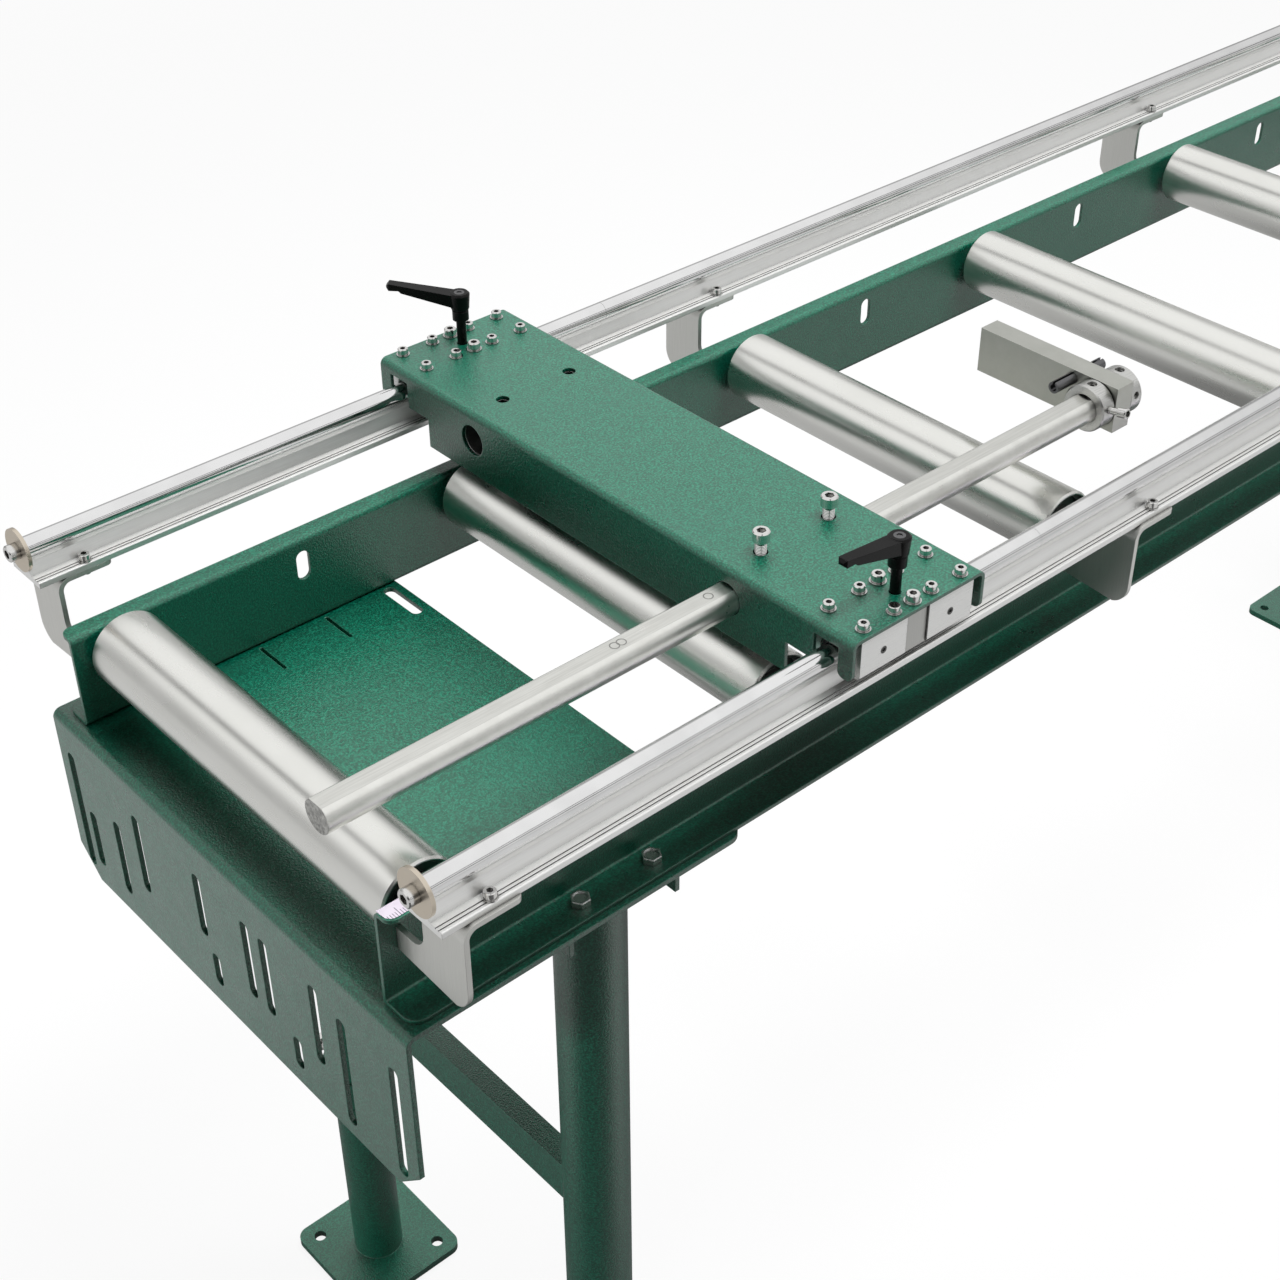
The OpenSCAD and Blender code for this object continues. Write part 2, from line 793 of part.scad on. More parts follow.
module stand_top(x, top) {
    color(green) translate([x, 0, top]) difference() {
        translate([0, stand_half_y, 0]) rotate([90, 0, 0])
            linear_extrude(height = 2 * stand_half_y) stand_top_section();
        both_sides() for (s = [-1, 1]) translate([s * rail_bolt_x, rail_bolt_y, -stand_sheet - cut])
            cylinder(d = rail_bolt_d + screw_hole_extra, h = stand_sheet + 2 * cut, $fn = fn_small);
    }
}

module stand_top_left() { stand_top(stand_left_x, adapter_top - adapter_sheet); }

module stand_top_right() { stand_top(stand_right_x, rail_bottom); }

// Two outer columns of a stand, each with a clamping ring at its lower end
module columns(x, top) {
    ring_d = column_d + 2 * collar_ring_t;
    color(green) both_sides() translate([x, column_y, column_clear]) difference() {
        union() {
            cylinder(d = column_d, h = top - stand_sheet - column_clear, $fn = fn_big);
            cylinder(d = ring_d, h = collar_ring_h, $fn = fn_big);
            translate([0, ring_d / 2, collar_ring_h / 2]) rod_y_axis(leg_boss_d, 2 * leg_boss_l, fn_mid);
        }
        translate([0, 0, -cut])
            cylinder(d = column_d - 2 * column_wall, h = top - column_clear + 2 * cut, $fn = fn_big);
        translate([0, column_d / 2, collar_ring_h / 2])
            rod_y_axis(leg_screw_d + thread_gap, column_d, fn_small);
    }
}

module columns_left() { columns(stand_left_x, adapter_top - adapter_sheet); }

module columns_right() { columns(stand_right_x, rail_bottom); }

// Cross tubes between the columns, shaped to meet the round columns
module stand_braces() {
    color(green) for (x = [stand_left_x, stand_right_x]) translate([x, 0, brace_top - brace_h / 2])
        difference() {
            cube([brace_w, 2 * column_y, brace_h], center = true);
            cube([brace_w - 2 * brace_wall, 2 * column_y + cut, brace_h - 2 * brace_wall], center = true);
            both_sides() translate([0, column_y, 0])
                cylinder(d = column_d + 2 * seat, h = brace_h + 2 * cut, center = true, $fn = fn_big);
        }
}

// Sliding inner leg with its foot plate
module inner_leg(x, side) {
    leg_d = column_d - 2 * column_wall - 2 * leg_gap;
    leg_h = column_clear + leg_overlap - foot_t;
    color(green) translate([x, side * column_y, 0]) {
        translate([0, 0, foot_t]) difference() {
            cylinder(d = leg_d, h = leg_h, $fn = fn_big);
            translate([0, 0, cut]) cylinder(d = leg_d - 2 * leg_wall, h = leg_h, $fn = fn_big);
        }
        linear_extrude(height = foot_t) difference() {
            rounded_2d(foot_size, foot_size, foot_round);
            for (sx = [-1, 1], sy = [-1, 1])
                translate([sx * (foot_size / 2 - foot_hole_in), sy * (foot_size / 2 - foot_hole_in)])
                    circle(d = foot_hole_d, $fn = fn_small);
        }
    }
}

module leg_near_left() { inner_leg(stand_left_x, -1); }

module leg_far_left() { inner_leg(stand_left_x, 1); }

module leg_near_right() { inner_leg(stand_right_x, -1); }

module leg_far_right() { inner_leg(stand_right_x, 1); }

// Screws that lock the inner legs at their height
module leg_screws() {
    leg_r = column_d / 2 - column_wall - leg_gap;
    head_y = column_y + column_d / 2 + collar_ring_t + leg_boss_l + leg_screw_out;
    grip = head_y - column_y - leg_r - tip_gap;
    color(steel) both_sides() for (x = [stand_left_x, stand_right_x])
        translate([x, head_y, column_clear + collar_ring_h / 2]) rotate([-90, 0, 0]) {
            translate([0, 0, -grip]) cylinder(d = leg_screw_d, h = grip + seat, $fn = fn_small);
            cylinder(d = leg_screw_head * hex_corner, h = leg_screw_head_h, $fn = hex_sides);
        }
}

// Runs the children at the eight bolts between rails and stands, at the given heights of the two stands
module at_rail_bolts(left_z, right_z) {
    both_sides() for (s = [-1, 1]) {
        translate([stand_left_x + s * rail_bolt_x, rail_bolt_y, left_z]) children();
        translate([stand_right_x + s * rail_bolt_x, rail_bolt_y, right_z]) children();
    }
}

// Hexagon bolts with dished heads
module rail_bolts() {
    head_z = rail_bottom + rail_sheet;
    grip = rail_sheet + adapter_sheet + stand_sheet + rail_washer_t + rail_nut_h + bolt_tail;
    color(steel) at_rail_bolts(head_z, head_z) difference() {
        union() {
            translate([0, 0, -grip]) cylinder(d = rail_bolt_d, h = grip + seat, $fn = fn_small);
            cylinder(d = rail_bolt_af * hex_corner, h = rail_bolt_head_h, $fn = hex_sides);
        }
        translate([0, 0, rail_bolt_head_h - rail_bolt_dish])
            cylinder(d = rail_bolt_dish_d, h = rail_bolt_dish + cut, $fn = fn_small);
    }
}

module rail_washers() {
    under = rail_bottom - stand_sheet - rail_washer_t;
    color(steel) at_rail_bolts(under - adapter_sheet, under)
        washer(rail_washer_d, rail_bolt_d + screw_hole_extra, rail_washer_t);
}

module rail_nuts() {
    under = rail_bottom - stand_sheet - rail_washer_t - rail_nut_h;
    color(steel) at_rail_bolts(under - adapter_sheet, under)
        hex_nut(rail_bolt_af, rail_bolt_d + thread_gap, rail_nut_h);
}

// Carriage

// Flange of the carriage, far half, as a profile in Y and Z
module carriage_flange_2d() {
    bend_out = carriage_bend_in + carriage_sheet;
    top = carriage_top - bend_out;
    lug_in = carriage_half_y - lug_w;
    difference() {
        union() {
            square_to([0, carriage_bottom], [mid_in, top]);
            square_to([mid_in - cut, mid_bottom], [guide_y - notch_in, top]);
            square_to([guide_y - notch_in - cut, notch_top], [carriage_half_y, top]);
            square_to([lug_in, lug_bottom + lug_round], [carriage_half_y, top]);
            for (y = [lug_in + lug_round, carriage_half_y - lug_round])
                translate([y, lug_bottom + lug_round]) circle(r = lug_round, $fn = fn_small);
            square_to([lug_in + lug_round, lug_bottom],
                      [carriage_half_y - lug_round, lug_bottom + lug_round + cut]);
        }
        translate([rod_y, rod_z]) circle(d = rod_d + 2 * rod_hole_extra, $fn = fn_mid);
    }
}

// Rectangle from one corner to the other
module square_to(a, b) {
    translate(a) square([b[0] - a[0], b[1] - a[1]]);
}

// Holes of the carriage's top sheet: a hole for every screw, the lever stem and the rod screws
module carriage_top_holes() {
    for (b = [-1, 1], sx = [-1, 1], sy = [-1, 1])
        translate([b * block_step + sx * block_screw_x, guide_y + sy * block_screw_y])
            circle(d = block_screw_d + screw_hole_extra, $fn = fn_small);
    for (sy = [-1, 1]) translate([0, guide_y + sy * block_screw_y])
        circle(d = clamp_screw_d + screw_hole_extra, $fn = fn_small);
    translate([0, guide_y]) circle(d = stem_d + 2 * screw_hole_extra, $fn = fn_small);
    for (sx = [-1, 1]) translate([sx * rod_screw_x, rod_y]) circle(d = rod_screw_hole_d, $fn = fn_small);
}

module carriage_plate() {
    bend_out = carriage_bend_in + carriage_sheet;
    flat = carriage_w - 2 * bend_out;
    color(green) translate([carriage_x, 0, 0]) {
        translate([0, 0, block_top]) linear_extrude(height = carriage_sheet) difference() {
            square([flat, 2 * carriage_half_y], center = true);
            for (side = [0, 1]) mirror([0, side]) carriage_top_holes();
        }
        for (s = [0, 1]) mirror([s, 0, 0]) {
            translate([flat / 2, carriage_half_y, carriage_top - bend_out]) rotate([90, 0, 0])
                linear_extrude(height = 2 * carriage_half_y) bend_2d(carriage_bend_in, carriage_sheet);
            along_x(carriage_w / 2 - carriage_sheet, carriage_sheet) {
                carriage_flange_2d();
                mirror([1, 0]) carriage_flange_2d();
            }
        }
    }
}

// Section of a bearing block in Y and Z about the shaft axis, open below
module block_section() {
    low = block_bore_h - block_h;
    half = block_size / 2;
    difference() {
        polygon([
            [-half, low + block_edge], [-half + block_edge, low], [half - block_edge, low],
            [half, low + block_edge], [half, block_bore_h], [-half, block_bore_h]]);
        circle(r = shaft_d / 2 + run_fit, $fn = fn_mid);
        polygon([
            [-block_mouth / 2, 0], [-block_mouth_low / 2, low - cut],
            [block_mouth_low / 2, low - cut], [block_mouth / 2, 0]]);
    }
}

module bearing_blocks() {
    color(aluminium) both_sides() for (b = [-1, 1])
        translate([carriage_x + b * block_step, guide_y, guide_z]) difference() {
            along_x(-block_size / 2, block_size) block_section();
            for (sx = [-1, 1], sy = [-1, 1])
                translate([sx * block_screw_x, sy * block_screw_y, block_bore_h - block_screw_len])
                    cylinder(d = block_screw_d + thread_gap, h = block_screw_len + cut, $fn = fn_small);
            translate([0, block_size / 2, adjust_hole_rise])
                rod_y_axis(adjust_hole_d, 2 * adjust_hole_depth, fn_small);
        }
}

// Clamping pieces between the bearing blocks
module clamp_blocks() {
    gap = 2 * screw_hole_extra;
    color(steel) both_sides() translate([carriage_x, guide_y, guide_z]) difference() {
        intersection() {
            along_x(-block_gap / 2 + gap / 2, block_gap - gap) block_section();
            translate([0, -clamp_recess, 0])
                cube([block_gap, block_size, 2 * block_h], center = true);
        }
        for (sy = [-1, 1]) translate([0, sy * block_screw_y, block_bore_h - clamp_screw_len])
            cylinder(d = clamp_screw_d + thread_gap, h = clamp_screw_len + cut, $fn = fn_small);
        translate([0, 0, block_bore_h - stem_depth])
            cylinder(d = stem_d + 2 * run_fit, h = stem_depth + cut, $fn = fn_small);
    }
}

// Runs the children at the sixteen block screws
module at_block_screws(z) {
    both_sides() for (b = [-1, 1], sx = [-1, 1], sy = [-1, 1])
        translate([carriage_x + b * block_step + sx * block_screw_x, guide_y + sy * block_screw_y, z])
            children();
}

// Runs the children at the four clamp screws
module at_clamp_screws(z) {
    both_sides() for (sy = [-1, 1]) translate([carriage_x, guide_y + sy * block_screw_y, z]) children();
}

module block_screws() {
    grip = block_washer_t + carriage_sheet + block_screw_len - cut;
    color(steel) at_block_screws(carriage_top + block_washer_t)
        socket_screw(block_screw_d, grip, block_screw_head_d, block_screw_head_h);
}

module clamp_screws() {
    grip = clamp_washer_t + carriage_sheet + clamp_screw_len - cut;
    color(steel) at_clamp_screws(carriage_top + clamp_washer_t)
        socket_screw(clamp_screw_d, grip, clamp_screw_head_d, clamp_screw_head_h);
}

module carriage_washers() {
    color(steel) {
        at_block_screws(carriage_top)
            washer(block_washer_d, block_screw_d + screw_hole_extra, block_washer_t);
        at_clamp_screws(carriage_top)
            washer(clamp_washer_d, clamp_screw_d + screw_hole_extra, clamp_washer_t);
    }
}

// Guide tubes for the stop rod inside the carriage, one on each side
module rod_guides() {
    inner_w = carriage_w - 2 * carriage_sheet;
    tube_d = rod_d + 2 * guide_tube_wall;
    color(steel) both_sides() translate([carriage_x, rod_y, rod_z]) difference() {
        rod_x(tube_d, inner_w, fn_mid);
        rod_x(rod_d + 2 * run_fit, inner_w + 2 * cut, fn_mid);
        for (sx = [-1, 1]) translate([sx * rod_screw_x, 0, 0])
            cylinder(d = rod_screw_d + thread_gap, h = tube_d, $fn = fn_small);
    }
}

module rod_clamp_screws() {
    tip_z = rod_z + rod_r - rod_flat + seat;
    head_z = carriage_top + rod_screw_rise;
    color(steel) for (sx = [-1, 1]) translate([carriage_x + sx * rod_screw_x, -rod_y, head_z])
        socket_screw(rod_screw_d, head_z - tip_z, rod_screw_head_d, rod_screw_head_h);
}

// Stem, foot and waisted hub of a clamping lever
module lever_hub() {
    hub_z = stem_len + lever_foot_h;
    hub_top = hub_z + lever_hub_h;
    translate([0, 0, cut - carriage_sheet - stem_depth])
        cylinder(d = stem_d, h = stem_len + carriage_sheet + stem_depth, $fn = fn_small);
    rotate_extrude($fn = fn_mid) polygon([
        [0, stem_len], [lever_foot_d / 2, stem_len], [lever_foot_d / 2, hub_z - lever_neck],
        [lever_foot_d / 2 - lever_neck, hub_z], [lever_hub_low_d / 2, hub_z + lever_neck],
        [lever_hub_d / 2, hub_top - lever_hub_edge], [lever_hub_d / 2 - lever_hub_edge, hub_top],
        [0, hub_top]]);
}

// Arm of a clamping lever, seen from the side: it rises to a thin tip with a lip below
module lever_side_2d() {
    hub_top = stem_len + lever_foot_h + lever_hub_h;
    tip_top = hub_top - lever_hub_edge + lever_lift;
    tip_low = tip_top - lever_tip_h;
    lip_x = lever_length - lever_lip;
    polygon([
        [0, hub_top - lever_hub_edge], [0, hub_top - lever_root_h], [lip_x, tip_low - lever_lip_step],
        [lip_x + lever_lip_step, tip_low], [lever_length - lever_tip_round, tip_low],
        [lever_length, tip_low + lever_tip_round], [lever_length, tip_top - lever_tip_round],
        [lever_length - lever_tip_round, tip_top]]);
}

// The same arm seen from above
module lever_plan_2d() {
    polygon([
        [0, -lever_root_w / 2], [lever_length - lever_tip_round, -lever_tip_w / 2],
        [lever_length, lever_tip_round - lever_tip_w / 2], [lever_length, lever_tip_w / 2 - lever_tip_round],
        [lever_length - lever_tip_round, lever_tip_w / 2], [0, lever_root_w / 2]]);
}

module lever(y, angle) {
    hub_top = stem_len + lever_foot_h + lever_hub_h;
    color(black) translate([carriage_x, y, carriage_top]) rotate([0, 0, angle]) difference() {
        union() {
            lever_hub();
            intersection() {
                translate([0, lever_root_w, 0]) rotate([90, 0, 0])
                    linear_extrude(height = 2 * lever_root_w) lever_side_2d();
                linear_extrude(height = hub_top + lever_lift) lever_plan_2d();
            }
        }
        translate([0, 0, hub_top - lever_screw_h])
            cylinder(d = lever_screw_d + 2 * seat, h = lever_screw_h + cut, $fn = fn_small);
    }
}

module lever_near() { lever(-guide_y, near_lever_angle); }

module lever_far() { lever(guide_y, far_lever_angle); }

// Screw in the top of a lever hub
module lever_screw(y) {
    seat_z = carriage_top + stem_len + lever_foot_h + lever_hub_h - lever_screw_h;
    color(steel) translate([carriage_x, y, seat_z]) difference() {
        cylinder(d = lever_screw_d, h = lever_screw_h - seat, $fn = fn_small);
        translate([0, 0, lever_screw_h / 2])
            cylinder(d = lever_key * hex_corner, h = lever_screw_h, $fn = hex_sides);
    }
}

module lever_screw_near() { lever_screw(-guide_y); }

module lever_screw_far() { lever_screw(guide_y); }

// Length stop

module stop_rod() {
    color(steel) translate([(rod_start + rod_end) / 2, -rod_y, rod_z]) difference() {
        rod_x(rod_d, rod_length, fn_big);
        translate([0, 0, rod_r - rod_flat + rod_r])
            cube([rod_length + 2 * cut, rod_d, rod_d], center = true);
    }
}

// Places the children on the stop rod, at the middle of the near or far collar
module at_collar(which) {
    offset_x = which == 0 ? -collar_w / 2 - seat : stop_t + collar_w / 2 + seat;
    translate([stop_x + offset_x, -rod_y, rod_z]) children();
}

// One shaft collar with a radial screw hole to the side and one on top
module collar() {
    difference() {
        rotate([0, 90, 0]) rotate_extrude($fn = fn_big) polygon([
            [rod_r + run_fit, -collar_w / 2], [collar_d / 2 - collar_edge, -collar_w / 2],
            [collar_d / 2, -collar_w / 2 + collar_edge], [collar_d / 2, collar_w / 2 - collar_edge],
            [collar_d / 2 - collar_edge, collar_w / 2], [rod_r + run_fit, collar_w / 2]]);
        cylinder(d = lock_screw_d + thread_gap, h = collar_d, $fn = fn_small);
        rotate([90 - collar_screw_tilt, 0, 0])
            cylinder(d = collar_screw_d + thread_gap, h = collar_d, $fn = fn_small);
    }
}

module stop_collars() {
    color(aluminium) for (which = [0, 1]) at_collar(which) collar();
}

// Screw that stands out of the first collar and limits the swing, and short screws in the other holes
module collar_screws() {
    flat_z = rod_r - rod_flat;
    short_end = collar_d / 2 - set_screw_sink;
    color(steel) {
        at_collar(0) rotate([90 - collar_screw_tilt, 0, 0]) translate([0, 0, collar_screw_reach])
            socket_screw(collar_screw_d, collar_screw_reach - rod_r - run_fit,
                         collar_screw_head_d, collar_screw_head_h);
        for (which = [0, 1]) at_collar(which) set_screw(lock_screw_d, flat_z + seat, short_end);
        at_collar(1) rotate([90 - collar_screw_tilt, 0, 0])
            set_screw(collar_screw_d, rod_r + seat, short_end);
    }
}

// Headless screw between two heights, with a hexagon hole in its top
module set_screw(d, low, high) {
    difference() {
        translate([0, 0, low]) cylinder(d = d, h = high - low, $fn = fn_small);
        translate([0, 0, (low + high) / 2])
            cylinder(d = d / 2 * hex_corner, h = high - low, $fn = hex_sides);
    }
}

module stop_bar() {
    near_y = -rod_y - stop_back;
    color(steel) difference() {
        translate([stop_x, near_y, rod_z - stop_h / 2]) cube([stop_t, stop_length, stop_h]);
        translate([stop_x + stop_t / 2, -rod_y, rod_z]) rod_x(rod_d + 2 * run_fit, stop_t + 2 * cut, fn_mid);
        translate([stop_x + stop_t / 2, -rod_y + pin_y, rod_z + pin_rise])
            rod_x(pin_d + thread_gap, stop_t + 2 * cut, fn_small);
    }
}

// Slotted spring pin through the stop bar
module stop_pin() {
    length = stop_t + pin_near + pin_far;
    color(black) translate([stop_x - pin_near + length / 2, -rod_y + pin_y, rod_z + pin_rise])
        difference() {
            rod_x(pin_d, length, fn_small);
            rod_x(pin_bore_d, length + 2 * cut, fn_small);
            translate([-length, -pin_slot / 2, 0]) cube([2 * length, pin_slot, pin_d]);
        }
}

rail_near();
rail_far();
measuring_tape();
adapter_plate();
roller_axles();
axle_screws();
guide_base_near();
guide_base_far();
guide_shaft_near();
guide_shaft_far();
shaft_end_washers();
shaft_end_screws();
guide_brackets();
guide_screws();
guide_washers();
stand_top_left();
stand_top_right();
columns_left();
columns_right();
stand_braces();
leg_screws();
rail_bolts();
rail_washers();
rail_nuts();
leg_near_left();
leg_far_left();
leg_near_right();
leg_far_right();
roller_shell(0);  // roller_1_shell
roller_hubs(0);  // roller_1_hubs
roller_shell(1);  // roller_2_shell
roller_hubs(1);  // roller_2_hubs
roller_shell(2);  // roller_3_shell
roller_hubs(2);  // roller_3_hubs
roller_shell(3);  // roller_4_shell
roller_hubs(3);  // roller_4_hubs
roller_shell(4);  // roller_5_shell
roller_hubs(4);  // roller_5_hubs
roller_shell(5);  // roller_6_shell
roller_hubs(5);  // roller_6_hubs
roller_shell(6);  // roller_7_shell
roller_hubs(6);  // roller_7_hubs
carriage_plate();
bearing_blocks();
clamp_blocks();
block_screws();
clamp_screws();
carriage_washers();
rod_guides();
rod_clamp_screws();
lever_near();
lever_far();
lever_screw_near();
lever_screw_far();
stop_rod();
stop_collars();
collar_screws();
stop_bar();
stop_pin();
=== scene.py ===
from math import cos, radians, sin, tau

import bmesh
import bpy
from mathutils import Matrix, Vector


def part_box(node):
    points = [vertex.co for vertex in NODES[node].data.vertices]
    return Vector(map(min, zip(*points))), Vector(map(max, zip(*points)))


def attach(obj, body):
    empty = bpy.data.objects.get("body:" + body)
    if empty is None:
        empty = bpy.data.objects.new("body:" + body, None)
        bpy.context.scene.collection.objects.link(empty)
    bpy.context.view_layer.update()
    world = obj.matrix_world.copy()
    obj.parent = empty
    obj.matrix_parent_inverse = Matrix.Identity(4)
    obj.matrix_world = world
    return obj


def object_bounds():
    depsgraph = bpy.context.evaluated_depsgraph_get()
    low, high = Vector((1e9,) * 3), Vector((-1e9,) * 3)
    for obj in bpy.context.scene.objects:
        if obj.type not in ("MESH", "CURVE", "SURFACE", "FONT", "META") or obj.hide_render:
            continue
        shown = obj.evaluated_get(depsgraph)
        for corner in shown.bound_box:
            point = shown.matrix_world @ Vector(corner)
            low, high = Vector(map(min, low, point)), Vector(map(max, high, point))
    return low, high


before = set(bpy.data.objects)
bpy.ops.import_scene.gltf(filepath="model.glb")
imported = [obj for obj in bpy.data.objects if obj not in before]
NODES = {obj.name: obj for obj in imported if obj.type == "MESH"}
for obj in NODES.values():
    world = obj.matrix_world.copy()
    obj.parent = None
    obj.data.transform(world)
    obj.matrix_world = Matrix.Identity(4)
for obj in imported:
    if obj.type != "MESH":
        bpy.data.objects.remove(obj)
CAD_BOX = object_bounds()
MM = 0.001
WHITE = (1.0, 1.0, 1.0, 1.0)

# Places that the scene takes from the frame
PLATE_LOW, PLATE_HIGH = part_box("carriage_plate")
BLOCK_LOW, BLOCK_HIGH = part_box("bearing_blocks")
TUBE_LOW, TUBE_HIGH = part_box("rod_guides")
SCREW_LOW, SCREW_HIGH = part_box("rod_clamp_screws")
TAPE_LOW, TAPE_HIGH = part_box("measuring_tape")
SHAFT_LOW, SHAFT_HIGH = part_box("guide_shaft_far")
SHAFT_Y, SHAFT_Z = (SHAFT_LOW.y + SHAFT_HIGH.y) / 2, (SHAFT_LOW.z + SHAFT_HIGH.z) / 2
ROD_LOW, ROD_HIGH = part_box("stop_rod")
ROD_Y = (ROD_LOW.y + ROD_HIGH.y) / 2

# Sizes that the boxes do not give
BLOCK_LENGTH = 45.0 * MM
SCREW_HEAD_R, SCREW_HEAD_H = 6.5 * MM, 8.0 * MM
SCREW_XS = (SCREW_LOW.x + SCREW_HEAD_R, SCREW_HIGH.x - SCREW_HEAD_R)


# Node trees

RIM_START, RAY_SAMPLES = 0.02, 4


class Graph:
    """The node tree of a material or world, with short calls for the nodes that the scene uses."""

    def __init__(self, owner):
        owner.use_nodes = True
        self.owner, self.tree = owner, owner.node_tree
        self.tree.nodes.clear()
        places = self.add("ShaderNodeTexCoord").outputs
        self.coords, self.normal, self.way = places["Object"], places["Normal"], places["Generated"]

    def add(self, kind, sockets=None, **settings):
        node = self.tree.nodes.new(kind)
        for key, value in settings.items():
            setattr(node, key, value)
        for key, value in (sockets or {}).items():
            self.feed(node.inputs[key], value)
        return node

    def feed(self, socket, value):
        if isinstance(value, bpy.types.NodeSocket):
            self.tree.links.new(value, socket)
        else:
            socket.default_value = value

    def math(self, operation, a, b=0.0):
        return self.add("ShaderNodeMath", {0: a, 1: b}, operation=operation).outputs[0]

    def measure(self, operation, a, b=(0.0, 0.0, 0.0)):
        """A number taken from vectors: a distance, a length or a dot product."""
        return self.add("ShaderNodeVectorMath", {0: a, 1: b}, operation=operation).outputs["Value"]

    def split(self, vector):
        return self.add("ShaderNodeSeparateXYZ", {"Vector": vector}).outputs

    def stretched(self, scale):
        return self.add("ShaderNodeMapping", {"Vector": self.coords, "Scale": scale}).outputs["Vector"]

    def noise(self, scale, detail=2.0, roughness=0.5, vector=None):
        sockets = {"Scale": scale, "Detail": detail, "Roughness": roughness,
                   "Vector": vector or self.coords}
        return self.add("ShaderNodeTexNoise", sockets).outputs["Fac"]

    def ramp(self, fac, *stops):
        node = self.add("ShaderNodeValToRGB", {"Fac": fac})
        while len(node.color_ramp.elements) < len(stops):
            node.color_ramp.elements.new(0.5)
        for element, (place, colour) in zip(node.color_ramp.elements, stops):
            element.position = place
            element.color = (*colour, 1.0)
        return node.outputs["Color"]

    def grey(self, fac, *stops):
        return self.ramp(fac, *((place, (value,) * 3) for place, value in stops))

    def mix(self, fac, a, b):
        return self.add("ShaderNodeMix", {0: fac, 6: a, 7: b}, data_type="RGBA").outputs[2]

    def times(self, a, b):
        return self.add("ShaderNodeMix", {0: 1.0, 6: a, 7: b}, data_type="RGBA",
                        blend_type="MULTIPLY").outputs[2]

    def mix_shader(self, fac, a, b):
        return self.add("ShaderNodeMixShader", {0: fac, 1: a, 2: b}).outputs[0]

    def bump(self, height, strength, distance, normal=None):
        sockets = {"Height": height, "Strength": strength, "Distance": distance}
        if normal:
            sockets["Normal"] = normal
        return self.add("ShaderNodeBump", sockets).outputs["Normal"]

    def edges(self, radius):
        """The normal of a slightly rounded edge, and a mask that is zero away from the edges."""
        soft = self.add("ShaderNodeBevel", {"Radius": radius}, samples=RAY_SAMPLES).outputs["Normal"]
        flat = self.add("ShaderNodeNewGeometry").outputs["Normal"]
        return soft, self.math("SUBTRACT", 1.0, self.measure("DOT_PRODUCT", soft, flat))

    def edge_wear_and_highlight(self, edge, full, most, colour, bare):
        """The colour, mixed along the edges with a lighter one that is partly wear and partly a painted
        highlight: by the most where the mask is full.
        """
        return self.mix(self.grey(edge, (RIM_START, 0.0), (full, most)), colour, bare)

    def painted_hollow_shade(self, reach, dark, colour):
        """The colour with painted shade in sockets and inner corners."""
        sides = self.add("ShaderNodeAmbientOcclusion", {"Distance": reach}, samples=RAY_SAMPLES)
        return self.times(colour, self.grey(sides.outputs["AO"], (0.30, dark), (0.85, 1.0)))

    def prints(self, places, radius, width):
        """Rings of the given radius pressed into a surface around places given by X and Y."""
        x, y, _ = self.split(self.coords)
        flat = self.add("ShaderNodeCombineXYZ", {0: x, 1: y}).outputs[0]
        total = 0.0
        for place in places:
            away = self.measure("DISTANCE", flat, (*place, 0.0))
            off = self.math("ABSOLUTE", self.math("SUBTRACT", away, radius))
            total = self.math("MAXIMUM", total, self.math("LESS_THAN", off, width / 2))
        return total

    def output(self, kind, shader):
        self.add(kind, {"Surface": shader})
        return self.owner

    def finish(self, **sockets):
        """Ends a material with a principled shader, whose sockets are given by name."""
        shader = self.add("ShaderNodeBsdfPrincipled",
                          {name.replace("_", " "): value for name, value in sockets.items()})
        return self.output("ShaderNodeOutputMaterial", shader.outputs[0])


def material_graph(name):
    return Graph(bpy.data.materials.new(name))


# Finishes. The scales of their noise are per metre.

PEEL_SCALE, PAINT_CLOUD_SCALE, PAINT_SHEEN_SCALE = 660.0, 9.0, 60.0
PEEL_STRENGTH, PEEL_DEPTH, PAINT_RIM = 0.90, 0.5 * MM, 1.6 * MM
PAINT_DEEP, PAINT_MIDDLE = (0.0002, 0.044, 0.026), (0.0010, 0.080, 0.046)
PAINT_HIGH, PAINT_CLOUD = (0.0050, 0.148, 0.088), (0.003, 0.082, 0.055, 1.0)
# The first is the lighter edge colour: partly thin paint, partly a painted highlight
PAINT_EDGE, PAINT_GLINT = (0.12, 0.34, 0.25, 1.0), (0.80, 1.0, 0.86, 1.0)


def green_paint():
    """Dark green hammered paint: an orange peel, faint clouds, and lighter edges where it runs thin,
    which are partly a painted highlight.
    """
    g = material_graph("green_paint")
    peel = g.noise(PEEL_SCALE, 2.5, 0.55)
    cloud = g.noise(PAINT_CLOUD_SCALE, 3.0, 0.55)
    soft, edge = g.edges(PAINT_RIM)
    deep = g.ramp(peel, (0.36, PAINT_DEEP), (0.50, PAINT_MIDDLE), (0.64, PAINT_HIGH))
    clouded = g.mix(g.grey(cloud, (0.42, 0.0), (0.75, 0.30)), deep, PAINT_CLOUD)
    bumped = g.bump(peel, PEEL_STRENGTH, PEEL_DEPTH, soft)
    # Lighter edges: partly thin paint, partly a painted highlight
    return g.finish(Base_Color=g.edge_wear_and_highlight(edge, 0.30, 0.65, clouded, PAINT_EDGE),
                    Roughness=g.grey(g.noise(PAINT_SHEEN_SCALE, 3.0), (0.3, 0.27), (0.7, 0.36)),
                    Normal=bumped, Specular_IOR_Level=0.78, Specular_Tint=PAINT_GLINT,
                    Coat_Weight=0.62, Coat_Roughness=0.16, Coat_Normal=bumped)


LINE_SCALE, LINE_STRETCH, DRAWN_CLOUD_SCALE = 2600.0, 0.012, 14.0
LINE_STRENGTH, LINE_DEPTH = 0.10, 0.2 * MM
